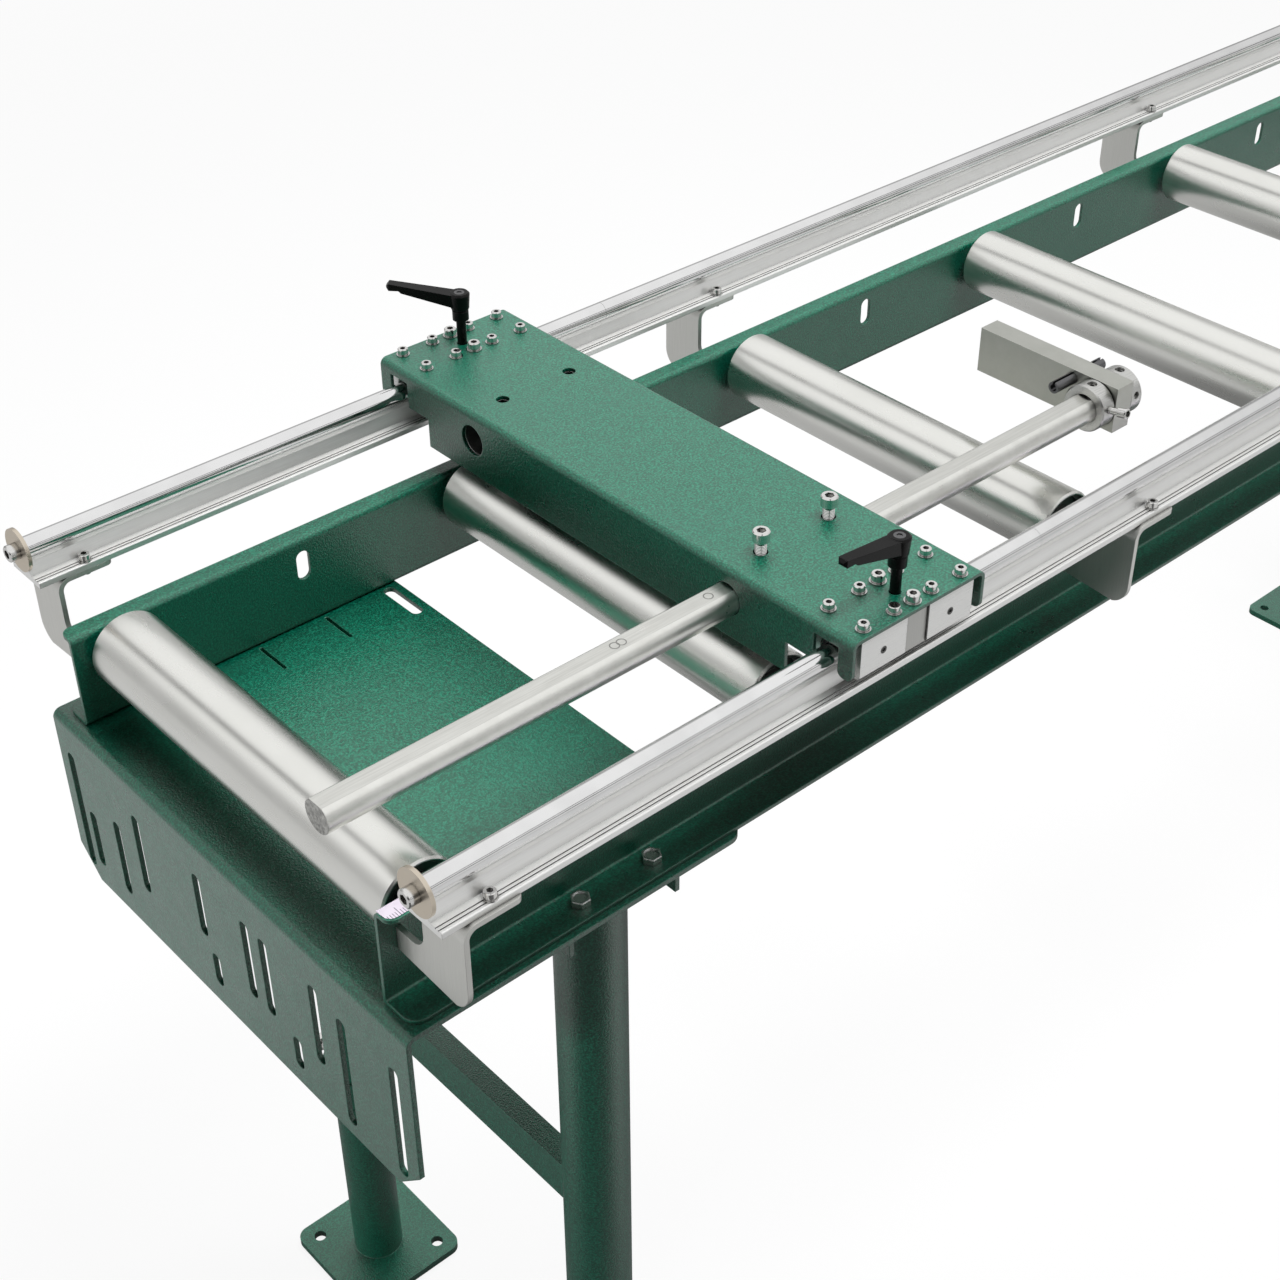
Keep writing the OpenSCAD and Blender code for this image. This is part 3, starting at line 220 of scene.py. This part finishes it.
# Width of the lighter edges, and how far the painted shade in sockets and inner corners reaches; then
# the colour of those edges, partly wear and partly a painted highlight
METAL_RIM, DRAWN_SHADE_REACH = 0.6 * MM, 4.0 * MM
DRAWN_EDGE = (0.90, 0.90, 0.88, 1.0)


def drawn_metal(name, dark, light, along, rough, metal=1.0):
    """Metal with fine lines along one axis: rolled, drawn, turned or brushed. Its edges are lighter,
    partly wear and partly a painted highlight, and its sockets and inner corners hold painted shade.
    """
    g = material_graph(name)
    stretch = [LINE_STRETCH if axis == along else 1.0 for axis in "xyz"]
    lines = g.noise(LINE_SCALE, 3.0, 0.6, g.stretched(stretch))
    cloud = g.noise(DRAWN_CLOUD_SCALE, 3.0, 0.6)
    base = g.ramp(lines, (0.30, dark), (0.70, light))
    clouded = g.mix(g.grey(cloud, (0.40, 0.0), (0.75, 0.35)), base, (*dark, 1.0))
    soft, edge = g.edges(METAL_RIM)
    # Lighter edges: partly wear, partly a painted highlight
    edge_wear_and_highlight = g.edge_wear_and_highlight(edge, 0.25, 0.6, clouded, DRAWN_EDGE)
    # Painted shade in sockets and inner corners
    return g.finish(Base_Color=g.painted_hollow_shade(DRAWN_SHADE_REACH, 0.12, edge_wear_and_highlight), Metallic=metal,
                    Roughness=g.grey(lines, (0.3, rough - 0.05), (0.7, rough + 0.07)),
                    Normal=g.bump(lines, LINE_STRENGTH, LINE_DEPTH, soft))


TURNED_SCALE, RUBBED_SCALE = 1500.0, 22.0
TURNED_STRETCH, RUBBED_STRETCH = (0.02, 1.0, 0.02), (1.0, 0.35, 1.0)
TURNED_STRENGTH, TURNED_DEPTH = 0.06, 0.2 * MM
ROLLER_DARK, ROLLER_LIGHT = (0.80, 0.80, 0.765), (0.86, 0.86, 0.825)


def roller_metal():
    """Bright roller tube: turned rings, a satin sheen and faint rubbed patches."""
    g = material_graph("roller_tube")
    rings = g.noise(TURNED_SCALE, 2.0, 0.5, g.stretched(TURNED_STRETCH))
    rubbed = g.noise(RUBBED_SCALE, 4.0, 0.62, g.stretched(RUBBED_STRETCH))
    return g.finish(Base_Color=g.ramp(rubbed, (0.30, ROLLER_DARK), (0.60, ROLLER_LIGHT)),
                    Metallic=1.0, Roughness=g.grey(rubbed, (0.35, 0.25), (0.70, 0.31)),
                    Normal=g.bump(rings, TURNED_STRENGTH, TURNED_DEPTH))


MOTTLE_SCALE, GRAIN_SCALE = 45.0, 1300.0
# The last is how far the painted shade in sockets and inner corners reaches; below is the colour of
# edges rubbed bright with a painted highlight
GRAIN_STRENGTH, GRAIN_DEPTH, STEEL_SHADE_REACH = 0.15, 0.25 * MM, 2.5 * MM
STEEL_EDGE = (0.74, 0.74, 0.71, 1.0)


def mottled_steel(name, dark, light, rough, rim=METAL_RIM, rim_shade=STEEL_EDGE):
    """Dull steel with a fine grain, faint mottling, edges rubbed bright with a painted highlight on
    them, and painted shade in sockets and inner corners.
    """
    g = material_graph(name)
    mottle = g.noise(MOTTLE_SCALE, 5.0, 0.62)
    grain = g.noise(GRAIN_SCALE, 2.0, 0.5)
    soft, edge = g.edges(rim)
    base = g.ramp(mottle, (0.30, dark), (0.72, light))
    # Edges rubbed bright: partly wear, partly a painted highlight
    edge_wear_and_highlight = g.edge_wear_and_highlight(edge, 0.20, 0.8, base, rim_shade)
    # Painted shade in sockets and inner corners
    return g.finish(Base_Color=g.painted_hollow_shade(STEEL_SHADE_REACH, 0.25, edge_wear_and_highlight), Metallic=1.0,
                    Roughness=g.grey(mottle, (0.3, rough), (0.7, rough + 0.08)),
                    Normal=g.bump(grain, GRAIN_STRENGTH, GRAIN_DEPTH, soft))


ROD_LINE_SCALE, ROD_MOTTLE_SCALE, SAWN_SCALE = 900.0, 48.0, 420.0
ROD_STRETCH, ROD_RIM = (0.03, 1.0, 1.0), 0.7 * MM
ROD_STRENGTH, ROD_DEPTH, ROD_LINE_SHARE = 0.35, 0.25 * MM, 0.25
SHELL_DARK, SHELL_LIGHT = (0.78, 0.78, 0.74), (0.92, 0.92, 0.88)
FLAT_DARK, FLAT_LIGHT = (0.64, 0.64, 0.605), (0.78, 0.78, 0.745)
SAWN_DARK, SAWN_LIGHT = (0.20, 0.20, 0.19), (0.62, 0.62, 0.59)
ROD_EDGE, PRINT_COLOUR, PRINT_SHARE = (0.80, 0.80, 0.78, 1.0), (0.14, 0.14, 0.13, 1.0), 0.7
PRINT_RADIUS, PRINT_WIDTH = 3.4 * MM, 0.9 * MM
PRINT_PLACES = [(PLATE_LOW.x - reach * MM, ROD_Y) for reach in (18.0, 98.0, 104.0)]


def rod_steel():
    """Cold-drawn bar: fine lines along it, a milled flat, sawn ends and the prints of the screws."""
    g = material_graph("drawn_rod")
    facing_x, _, facing_z = g.split(g.normal)
    lines = g.noise(ROD_LINE_SCALE, 3.0, 0.6, g.stretched(ROD_STRETCH))
    mottle = g.noise(ROD_MOTTLE_SCALE, 5.0, 0.62)
    shell = g.ramp(mottle, (0.30, SHELL_DARK), (0.72, SHELL_LIGHT))
    flat = g.ramp(lines, (0.30, FLAT_DARK), (0.72, FLAT_LIGHT))
    sawn = g.ramp(g.noise(SAWN_SCALE, 4.0, 0.7), (0.35, SAWN_DARK), (0.70, SAWN_LIGHT))
    base = g.mix(g.grey(facing_z, (0.990, 0.0), (0.998, 1.0)), shell, flat)
    ends = g.grey(g.math("ABSOLUTE", facing_x), (0.90, 0.0), (0.98, 1.0))
    soft, edge = g.edges(ROD_RIM)
    # Lighter edges: partly wear, partly a painted highlight
    edge_wear_and_highlight = g.edge_wear_and_highlight(edge, 0.25, 0.8, g.mix(ends, base, sawn), ROD_EDGE)
    prints = g.prints(PRINT_PLACES, PRINT_RADIUS, PRINT_WIDTH)
    marked = g.mix(g.math("MULTIPLY", prints, PRINT_SHARE), edge_wear_and_highlight, PRINT_COLOUR)
    height = g.math("SUBTRACT", g.math("MULTIPLY", lines, ROD_LINE_SHARE), prints)
    return g.finish(Base_Color=marked, Metallic=1.0,
                    Roughness=g.grey(mottle, (0.3, 0.27), (0.7, 0.36)),
                    Normal=g.bump(height, ROD_STRENGTH, ROD_DEPTH, soft))


HANDLING_SCALE, HANDLING_SHADE = 35.0, 0.93


def bright_metal(name, colour, rough, spread, hollow=0.0):
    """Bright plated or ground metal with a trace of handling marks, and painted shade in sockets where
    asked.
    """
    g = material_graph(name)
    marks = g.noise(HANDLING_SCALE, 3.0, 0.5)
    base = g.ramp(marks, (0.35, [c * HANDLING_SHADE for c in colour]), (0.65, colour))
    # Painted shade in sockets, where a reach is given
    if hollow:
        base = g.painted_hollow_shade(hollow, 0.05, base)
    return g.finish(Base_Color=base, Metallic=1.0,
                    Roughness=g.grey(marks, (0.35, rough), (0.65, rough + spread)))


PLASTIC_GRAIN_SCALE, PLASTIC_CLOUD_SCALE, PLASTIC_SPREAD = 1900.0, 40.0, 1.7
PLASTIC_STRENGTH, PLASTIC_DEPTH, PLASTIC_RIM = 0.25, 0.15 * MM, 0.8 * MM
# Colour of the lighter edges, a painted highlight
PLASTIC_EDGE = (0.05, 0.05, 0.052, 1.0)


def black_plastic(name, shade, rough):
    """Black moulded or powder-coated surface with a fine grain, and lighter edges that are a painted
    highlight.
    """
    g = material_graph(name)
    grain = g.noise(PLASTIC_GRAIN_SCALE, 2.0, 0.5)
    cloud = g.noise(PLASTIC_CLOUD_SCALE, 3.0)
    colour = g.grey(cloud, (0.3, shade), (0.7, shade * PLASTIC_SPREAD))
    soft, edge = g.edges(PLASTIC_RIM)
    # Lighter edges: a painted highlight
    return g.finish(Base_Color=g.edge_wear_and_highlight(edge, 0.30, 0.5, colour, PLASTIC_EDGE),
                    Roughness=rough, Specular_IOR_Level=0.15,
                    Normal=g.bump(grain, PLASTIC_STRENGTH, PLASTIC_DEPTH, soft))


# Ticks of the tape: pitch and half width in millimetres, and the share of its width that they cross
SMALL_TICKS, LONG_TICKS = (2.0, 0.22, 0.34), (10.0, 0.26, 0.62)
TICKS_BEFORE = 1000.0
PAPER_SCALE, PAPER_DARK, PAPER_LIGHT = 55.0, (0.50, 0.44, 0.52), (0.57, 0.52, 0.59)
INK = (0.05, 0.05, 0.07, 1.0)


def tape_scale():
    """White scale with tick marks every two millimetres, longer ones at each ten."""
    g = material_graph("tape_scale")
    x, y, _ = g.split(g.coords)
    along = g.math("MULTIPLY", g.math("SUBTRACT", x, TAPE_LOW.x), 1.0 / MM)
    across = g.math("DIVIDE", g.math("SUBTRACT", y, TAPE_LOW.y), TAPE_HIGH.y - TAPE_LOW.y)

    def ticks(pitch, half_width, reach):
        phase = g.math("PINGPONG", g.math("ADD", along, TICKS_BEFORE * pitch), pitch / 2)
        line = g.math("LESS_THAN", phase, half_width)
        return g.math("MULTIPLY", line, g.math("LESS_THAN", across, reach))

    marks = g.math("MAXIMUM", ticks(*SMALL_TICKS), ticks(*LONG_TICKS))
    paper = g.ramp(g.noise(PAPER_SCALE, 3.0), (0.3, PAPER_DARK), (0.7, PAPER_LIGHT))
    return g.finish(Base_Color=g.mix(marks, paper, INK), Roughness=0.38)


# Width of the painted highlight along bolt edges, and how far the painted shade in screw sockets reaches
BOLT_RIM, SCREW_SHADE_REACH = 1.3 * MM, 3.0 * MM

GREEN = green_paint()
ROLLER = roller_metal()
EXTRUSION = drawn_metal("extruded_aluminium", (0.86, 0.86, 0.845), (0.95, 0.95, 0.935), "x", 0.33, 0.82)
MILLED = drawn_metal("milled_aluminium", (0.80, 0.80, 0.785), (0.90, 0.90, 0.885), "x", 0.30, 0.75)
PLATE = drawn_metal("rolled_aluminium", (0.66, 0.66, 0.63), (0.76, 0.76, 0.73), "z", 0.42, 0.9)
CLAMP = drawn_metal("clamp_aluminium", (0.44, 0.44, 0.425), (0.54, 0.54, 0.52), "z", 0.36, 0.9)
COLLAR = drawn_metal("turned_collar", (0.56, 0.56, 0.54), (0.76, 0.76, 0.74), "x", 0.30)
ROD = rod_steel()
STEEL = mottled_steel("drawn_steel", (0.60, 0.60, 0.575), (0.72, 0.72, 0.69), 0.32)
BAR = mottled_steel("blasted_bar", (0.52, 0.53, 0.485), (0.60, 0.605, 0.565), 0.36)
# Bolts: a white rim along the edges, a painted highlight
BOLT = mottled_steel("zinc_bolts", (0.38, 0.40, 0.38), (0.54, 0.56, 0.53), 0.22, BOLT_RIM, WHITE)
HUB = mottled_steel("pressed_hub", (0.20, 0.20, 0.20), (0.34, 0.34, 0.33), 0.40)
DARK = mottled_steel("blackened_steel", (0.05, 0.05, 0.05), (0.09, 0.09, 0.09), 0.40)
CHROME = bright_metal("ground_shaft", (0.80, 0.80, 0.80), 0.09, 0.03)
SCREW = bright_metal("bright_screws", (0.74, 0.735, 0.72), 0.12, 0.08, SCREW_SHADE_REACH)
ZINC = bright_metal("yellowish_zinc", (0.70, 0.625, 0.52), 0.30, 0.12)
SPRING = bright_metal("dark_spring_steel", (0.17, 0.17, 0.175), 0.26, 0.12)
BLACK = black_plastic("black_lever", 0.002, 0.26)
TAPE = tape_scale()

FINISHED_NODES = (
    (GREEN, ("rail_near", "rail_far", "adapter_plate", "carriage_plate", "stand_top_left",
             "stand_top_right", "columns_left", "columns_right", "stand_braces", "leg_near_left",
             "leg_far_left", "leg_near_right", "leg_far_right")),
    (EXTRUSION, ("guide_base_near", "guide_base_far")),
    (MILLED, ("bearing_blocks",)),
    (PLATE, ("guide_brackets",)),
    (CLAMP, ("clamp_blocks",)),
    (COLLAR, ("stop_collars",)),
    (ROD, ("stop_rod",)),
    (STEEL, ("roller_axles",)),
    (BAR, ("stop_bar",)),
    (BOLT, ("rail_bolts", "rail_washers", "rail_nuts")),
    (HUB, ("rod_guides",)),
    (CHROME, ("guide_shaft_near", "guide_shaft_far")),
    (ZINC, ("shaft_end_washers",)),
    (SPRING, ("stop_pin", "lever_screw_near", "lever_screw_far")),
    (BLACK, ("lever_near", "lever_far")),
    (TAPE, ("measuring_tape",)),
)
FINISHES = {node: finish for finish, nodes in FINISHED_NODES for node in nodes}


def finish_of(node):
    """The finish of a CAD node: its own, or by its kind, or that of a bright screw."""
    if node in FINISHES:
        return FINISHES[node]
    if node.startswith("roller_"):
        return ROLLER if node.endswith("shell") else HUB
    return SCREW


for name, obj in NODES.items():
    obj.data.materials.clear()
    obj.data.materials.append(finish_of(name))


# Small pieces that only the picture model has

def add_piece(name, data, finish, body):
    """Makes an object of a mesh or curve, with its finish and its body."""
    data.materials.append(finish)
    piece = bpy.data.objects.new(name, data)
    bpy.context.collection.objects.link(piece)
    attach(piece, body)
    return piece


def mesh_of(name, sweeps):
    """A mesh of closed solids, each given by its sections, which have the same number of points."""
    mesh = bmesh.new()
    for sections in sweeps:
        rows = [[mesh.verts.new(point) for point in section] for section in sections]
        for here, there in zip(rows, rows[1:]):
            for i, point in enumerate(here):
                j = (i + 1) % len(here)
                mesh.faces.new((point, here[j], there[j], there[i]))
        mesh.faces.new(rows[0])
        mesh.faces.new(rows[-1])
    bmesh.ops.recalc_face_normals(mesh, faces=mesh.faces)
    data = bpy.data.meshes.new(name)
    mesh.to_mesh(data)
    mesh.free()
    return data


CIRCLE_SIDES = 32


def circle(x, y, z, radius):
    turns = [tau * i / CIRCLE_SIDES for i in range(CIRCLE_SIDES)]
    return [(x + radius * cos(turn), y + radius * sin(turn), z) for turn in turns]


THREAD_ROOT, THREAD_CREST, THREAD_PITCH = 3.9 * MM, 4.45 * MM, 1.25 * MM
THREAD_LOW = PLATE_HIGH.z - 5.0 * MM
THREAD_HIGH = SCREW_HIGH.z - SCREW_HEAD_H - 0.3 * MM


def thread(x, y):
    """Sections of a threaded shank, from root to crest and back at each turn."""
    height = THREAD_HIGH - THREAD_LOW
    steps = 2 * round(height / THREAD_PITCH)
    return [circle(x, y, THREAD_LOW + i * height / steps, THREAD_CREST if i % 2 else THREAD_ROOT)
            for i in range(steps + 1)]


def make_screw_threads():
    """Threads of the two rod screws, from below the sheet up to their heads."""
    y = (SCREW_LOW.y + SCREW_HIGH.y) / 2
    sweeps = [thread(x, y) for x in SCREW_XS]
    add_piece("rod_screw_threads", mesh_of("rod_screw_threads", sweeps), SCREW, "carriage")


# Rings on the block ends: inner radius, outer radius and thickness
SEAL, CLIP = (8.4 * MM, 12.8 * MM, 2.0 * MM), (10.7 * MM, 11.6 * MM, 2.8 * MM)
RING_GAP, RING_STEPS = radians(50.0), 28


def open_ring(x, thickness, y, inner, outer):
    """Sections of a ring about a shaft that is open below by twice the gap."""
    corners = ((0.0, inner), (0.0, outer), (thickness, outer), (thickness, inner))
    sections = []
    for i in range(RING_STEPS + 1):
        turn = RING_GAP + (tau - 2 * RING_GAP) * i / RING_STEPS - tau / 4
        sections.append([(x + dx, y + r * cos(turn), SHAFT_Z + r * sin(turn)) for dx, r in corners])
    return sections


def make_bearing_seals():
    """Black seals with a bright clip on the outer ends of the bearing blocks, open below like them."""
    for name, (inner, outer, thickness), finish, slot in (
            ("bearing_seals", SEAL, DARK, "black_plastic"), ("bearing_clips", CLIP, SCREW, "steel")):
        sweeps = [open_ring(x, way * thickness, y, inner, outer)
                  for x, way in ((BLOCK_LOW.x, -1.0), (BLOCK_HIGH.x, 1.0)) for y in (-SHAFT_Y, SHAFT_Y)]
        add_piece(name, mesh_of(name, sweeps), finish, "carriage")


# Set screws: their rise above the shaft's axis, radii, and places along them from the block's face
SET_RISE, SET_RADIUS, SOCKET_RADIUS = 2.5 * MM, 2.9 * MM, 1.7 * MM
SET_ROOT, SET_FACE, SOCKET_FLOOR = -1.0 * MM, 0.15 * MM, -0.9 * MM
SET_SIDES = 24
SET_PROFILE = ((SET_ROOT, SET_RADIUS, False), (SET_FACE, SET_RADIUS, False),
               (SET_FACE, SOCKET_RADIUS, True), (SOCKET_FLOOR, SOCKET_RADIUS, True))


def set_screw_ring(x, y, radius, hexagon):
    """Points around an axis along Y, on a circle or on a hexagon whose corners lie at the radius."""
    points = []
    for i in range(SET_SIDES):
        turn = tau * i / SET_SIDES
        r = radius * (cos(tau / 12) / cos(turn % (tau / 6) - tau / 12) if hexagon else 1.0)
        points.append((x + r * cos(turn), y, SHAFT_Z + SET_RISE + r * sin(turn)))
    return points


def make_adjusting_screws():
    """Dark set screws with a hexagon socket in the outer faces of the bearing blocks."""
    sweeps = [[set_screw_ring(x, y + way * out, radius, hexagon) for out, radius, hexagon in SET_PROFILE]
              for x in (BLOCK_LOW.x + BLOCK_LENGTH / 2, BLOCK_HIGH.x - BLOCK_LENGTH / 2)
              for y, way in ((BLOCK_LOW.y, -1.0), (BLOCK_HIGH.y, 1.0))]
    add_piece("adjusting_screws", mesh_of("adjusting_screws", sweeps), DARK, "carriage")


SCREW_PLATE_HALF, SCREW_PLATE_INSET = 14.0 * MM, 4.0 * MM
SCREW_PLATE_THICK, SCREW_PLATE_HOLE_R = 5.0 * MM, 4.7 * MM


def make_screw_plates():
    """Threaded plates between the guide tubes and the sheet, under the screws and the spare holes."""
    x0, x1 = TUBE_LOW.x + SCREW_PLATE_INSET, TUBE_HIGH.x - SCREW_PLATE_INSET
    for name, y in (("screw_plate_near", -abs(ROD_Y)), ("screw_plate_far", abs(ROD_Y))):
        y0, y1 = y - SCREW_PLATE_HALF, y + SCREW_PLATE_HALF
        loops = [[(x0, y0, 0.0), (x1, y0, 0.0), (x1, y1, 0.0), (x0, y1, 0.0)]]
        loops += [circle(x, y, 0.0, SCREW_PLATE_HOLE_R) for x in SCREW_XS]
        curve = bpy.data.curves.new(name, "CURVE")
        curve.dimensions, curve.fill_mode = "2D", "BOTH"
        curve.extrude = SCREW_PLATE_THICK / 2
        for loop in loops:
            spline = curve.splines.new("POLY")
            spline.points.add(len(loop) - 1)
            for point, place in zip(spline.points, loop):
                point.co = (*place, 1.0)
            spline.use_cyclic_u = True
        plate = add_piece(name, curve, DARK, "carriage")
        plate.location.z = TUBE_HIGH.z + SCREW_PLATE_THICK / 2


make_screw_threads()
make_bearing_seals()
make_adjusting_screws()
make_screw_plates()


# Floor. Its levels, from black to white, are what gloss shows of each zone.

FLOOR_SIZE, FLOOR_DROP = 30.0, 0.5 * MM
DARK_SPOT, DARK_REACH = (-1.6, -1.1, 0.0), 1.2
FLOOR_DARK, FLOOR_LEVEL = 0.03, 0.70
# Gloss levels of the floor's zones: a painted shadow under the table, a fainter painted shadow behind
# it, and paler floor past its ends
UNDER_LEVEL, BEHIND_LEVEL, END_LEVEL = 0.12, 0.60, 0.88
ACROSS_START, ACROSS_SPAN = 1.0, 3.0
ACROSS_LEVELS = ((0.13, 1.0), (0.23, UNDER_LEVEL), (0.45, UNDER_LEVEL),
                 (0.53, BEHIND_LEVEL), (0.83, BEHIND_LEVEL), (0.97, 1.0))
END_SCALE, END_FADE = 0.5, ((0.56, 0.0), (0.68, 1.0))
NEAR_WHITE, FADE_REACH = 0.88, 6.0
PAPER_SHADE, BOUNCE_SHADE = (0.82, 0.82, 0.82, 1.0), (0.30, 0.30, 0.30, 1.0)


def floor_paper():
    """White paper that keeps the object's shadow; toward the studio's dark side it reflects dimly, and
    gloss shows a painted shadow on it under the table, fainter behind it.
    """
    g = material_graph("floor_paper")
    rays = g.add("ShaderNodeLightPath").outputs
    x, y, _ = g.split(g.coords)
    away = g.math("DIVIDE", g.measure("DISTANCE", g.coords, DARK_SPOT), DARK_REACH)
    dim = g.grey(away, (0.72, FLOOR_DARK), (1.0, FLOOR_LEVEL))
    across = g.math("MULTIPLY", g.math("ADD", y, ACROSS_START), 1.0 / ACROSS_SPAN)
    past_end = g.grey(g.math("MULTIPLY", g.math("ABSOLUTE", x), END_SCALE), *END_FADE)
    # Painted shadow of the table, which only gloss shows
    under = g.mix(past_end, g.grey(across, *ACROSS_LEVELS), (END_LEVEL, END_LEVEL, END_LEVEL, 1.0))
    shown = g.mix(rays["Is Camera Ray"], g.times(dim, under), WHITE)
    glow = g.add("ShaderNodeEmission", {"Color": shown})
    paper = g.mix(rays["Is Diffuse Ray"], PAPER_SHADE, BOUNCE_SHADE)
    diffuse = g.add("ShaderNodeBsdfDiffuse", {"Color": paper})
    seen = g.math("MAXIMUM", rays["Is Camera Ray"], rays["Is Glossy Ray"])
    seen = g.math("MAXIMUM", seen, rays["Is Transmission Ray"])
    distance = g.math("DIVIDE", g.measure("LENGTH", g.coords), FADE_REACH)
    share = g.math("MULTIPLY", seen, g.grey(distance, (0.3, NEAR_WHITE), (1.0, 1.0)))
    shader = g.mix_shader(share, diffuse.outputs[0], glow.outputs[0])
    return g.output("ShaderNodeOutputMaterial", shader)


def make_floor():
    place = (0.0, 0.0, CAD_BOX[0][2] - FLOOR_DROP)
    bpy.ops.mesh.primitive_plane_add(size=FLOOR_SIZE, location=place)
    floor = bpy.context.object
    floor.name = "floor"
    floor.data.materials.append(floor_paper())


# World. Its levels, from black to white, are what gloss shows in each direction.

WORLD_LIGHT, WORLD_COLOUR = 0.06, (0.93, 0.95, 1.0, 1.0)
DARK_SIDE, DARK_LEVEL = (-0.70, -0.71, 0.0), 0.08
SIDE_LEVELS = ((0.70, 1.0), (0.88, DARK_LEVEL))
STRIP_X, STRIP_LEVELS = -0.27, ((0.05, 0.16), (0.10, 1.0))
RIGHT_LEVELS = ((0.66, 1.0), (0.78, 0.80))
NEAR_FADE, BACK_FADE = ((0.46, 0.0), (0.54, 1.0)), ((0.35, 0.0), (0.50, 1.0))
NEAR_LEVELS = ((0.10, 0.80), (0.14, 0.10), (0.20, 0.10), (0.23, 1.0),
               (0.33, 1.0), (0.355, 0.10), (0.40, 0.10), (0.43, 1.0))
BACK_LEVELS = ((0.0, 0.45), (0.28, 0.50), (0.50, 1.0))


def make_world():
    """White for the eye, dark bands and a dark side in the white for gloss, faint light for the rest."""
    world = bpy.data.worlds.new("studio")
    bpy.context.scene.world = world
    g = Graph(world)
    x, y, z = g.split(g.way)
    side = g.grey(g.measure("DOT_PRODUCT", g.way, DARK_SIDE), *SIDE_LEVELS)
    strip = g.grey(g.math("ABSOLUTE", g.math("SUBTRACT", x, STRIP_X)), *STRIP_LEVELS)
    right = g.grey(x, *RIGHT_LEVELS)
    near = g.mix(g.grey(g.math("MULTIPLY", y, -1.0), *NEAR_FADE), WHITE, g.grey(z, *NEAR_LEVELS))
    back = g.mix(g.grey(y, *BACK_FADE), WHITE, g.grey(z, *BACK_LEVELS))
    surroundings = g.times(g.times(g.times(side, strip), right), g.times(near, back))
    rays = g.add("ShaderNodeLightPath").outputs
    shiny = g.math("MAXIMUM", rays["Is Glossy Ray"], rays["Is Transmission Ray"])
    seen = g.math("MAXIMUM", rays["Is Camera Ray"], shiny)
    shown = g.mix(rays["Is Camera Ray"], surroundings, WHITE)
    soft = g.add("ShaderNodeBackground", {"Color": WORLD_COLOUR, "Strength": WORLD_LIGHT})
    white = g.add("ShaderNodeBackground", {"Color": shown})
    g.output("ShaderNodeOutputWorld", g.mix_shader(seen, soft.outputs[0], white.outputs[0]))


# Light and camera

# Lamps: name, place, aim, width and length in metres, and power in watts
LAMPS = (
    ("top", (0.3, 0.9, 3.4), (0.0, 0.1, 0.85), (2.6, 2.0), 105.0),
    ("side", (-3.8, 0.3, 0.35), (-1.0, 0.0, 0.68), (1.6, 0.5), 44.0),
    ("front", (0.3, -0.95, 3.9), (0.1, 0.2, 0.80), (2.4, 0.8), 125.0),
)


def soft_box(name, place, aim, size, power):
    """A lamp that gives soft light but does not show in the gloss."""
    lamp = bpy.data.lights.new(name, "AREA")
    lamp.shape = "RECTANGLE"
    lamp.size, lamp.size_y = size
    lamp.energy = power
    holder = bpy.data.objects.new(name, lamp)
    bpy.context.collection.objects.link(holder)
    holder.visible_glossy = False
    holder.location = place
    holder.rotation_euler = (Vector(aim) - Vector(place)).to_track_quat("-Z", "Y").to_euler()


CAMERA_PLACE = (-1.4772, -0.9789, 1.7130)
CAMERA_TURN, CAMERA_TILT, CAMERA_ROLL = radians(-41.39), radians(53.68), radians(-0.4)
LENS, SENSOR_WIDTH, CLIP_END = 57.28, 36.0, 100.0


def make_camera():
    """The camera of the photograph, found from the edges and sizes seen in it."""
    data = bpy.data.cameras.new("camera")
    data.lens, data.sensor_width, data.clip_end = LENS, SENSOR_WIDTH, CLIP_END
    camera = bpy.data.objects.new("camera", data)
    bpy.context.collection.objects.link(camera)
    aim = Matrix.Rotation(CAMERA_TURN, 4, "Z") @ Matrix.Rotation(CAMERA_TILT, 4, "X")
    aim = aim @ Matrix.Rotation(CAMERA_ROLL, 4, "Z")
    camera.matrix_world = Matrix.Translation(CAMERA_PLACE) @ aim
    bpy.context.scene.camera = camera


make_floor()
make_world()
for lamp_values in LAMPS:
    soft_box(*lamp_values)
make_camera()

scene = bpy.context.scene
scene.view_settings.view_transform = "Standard"
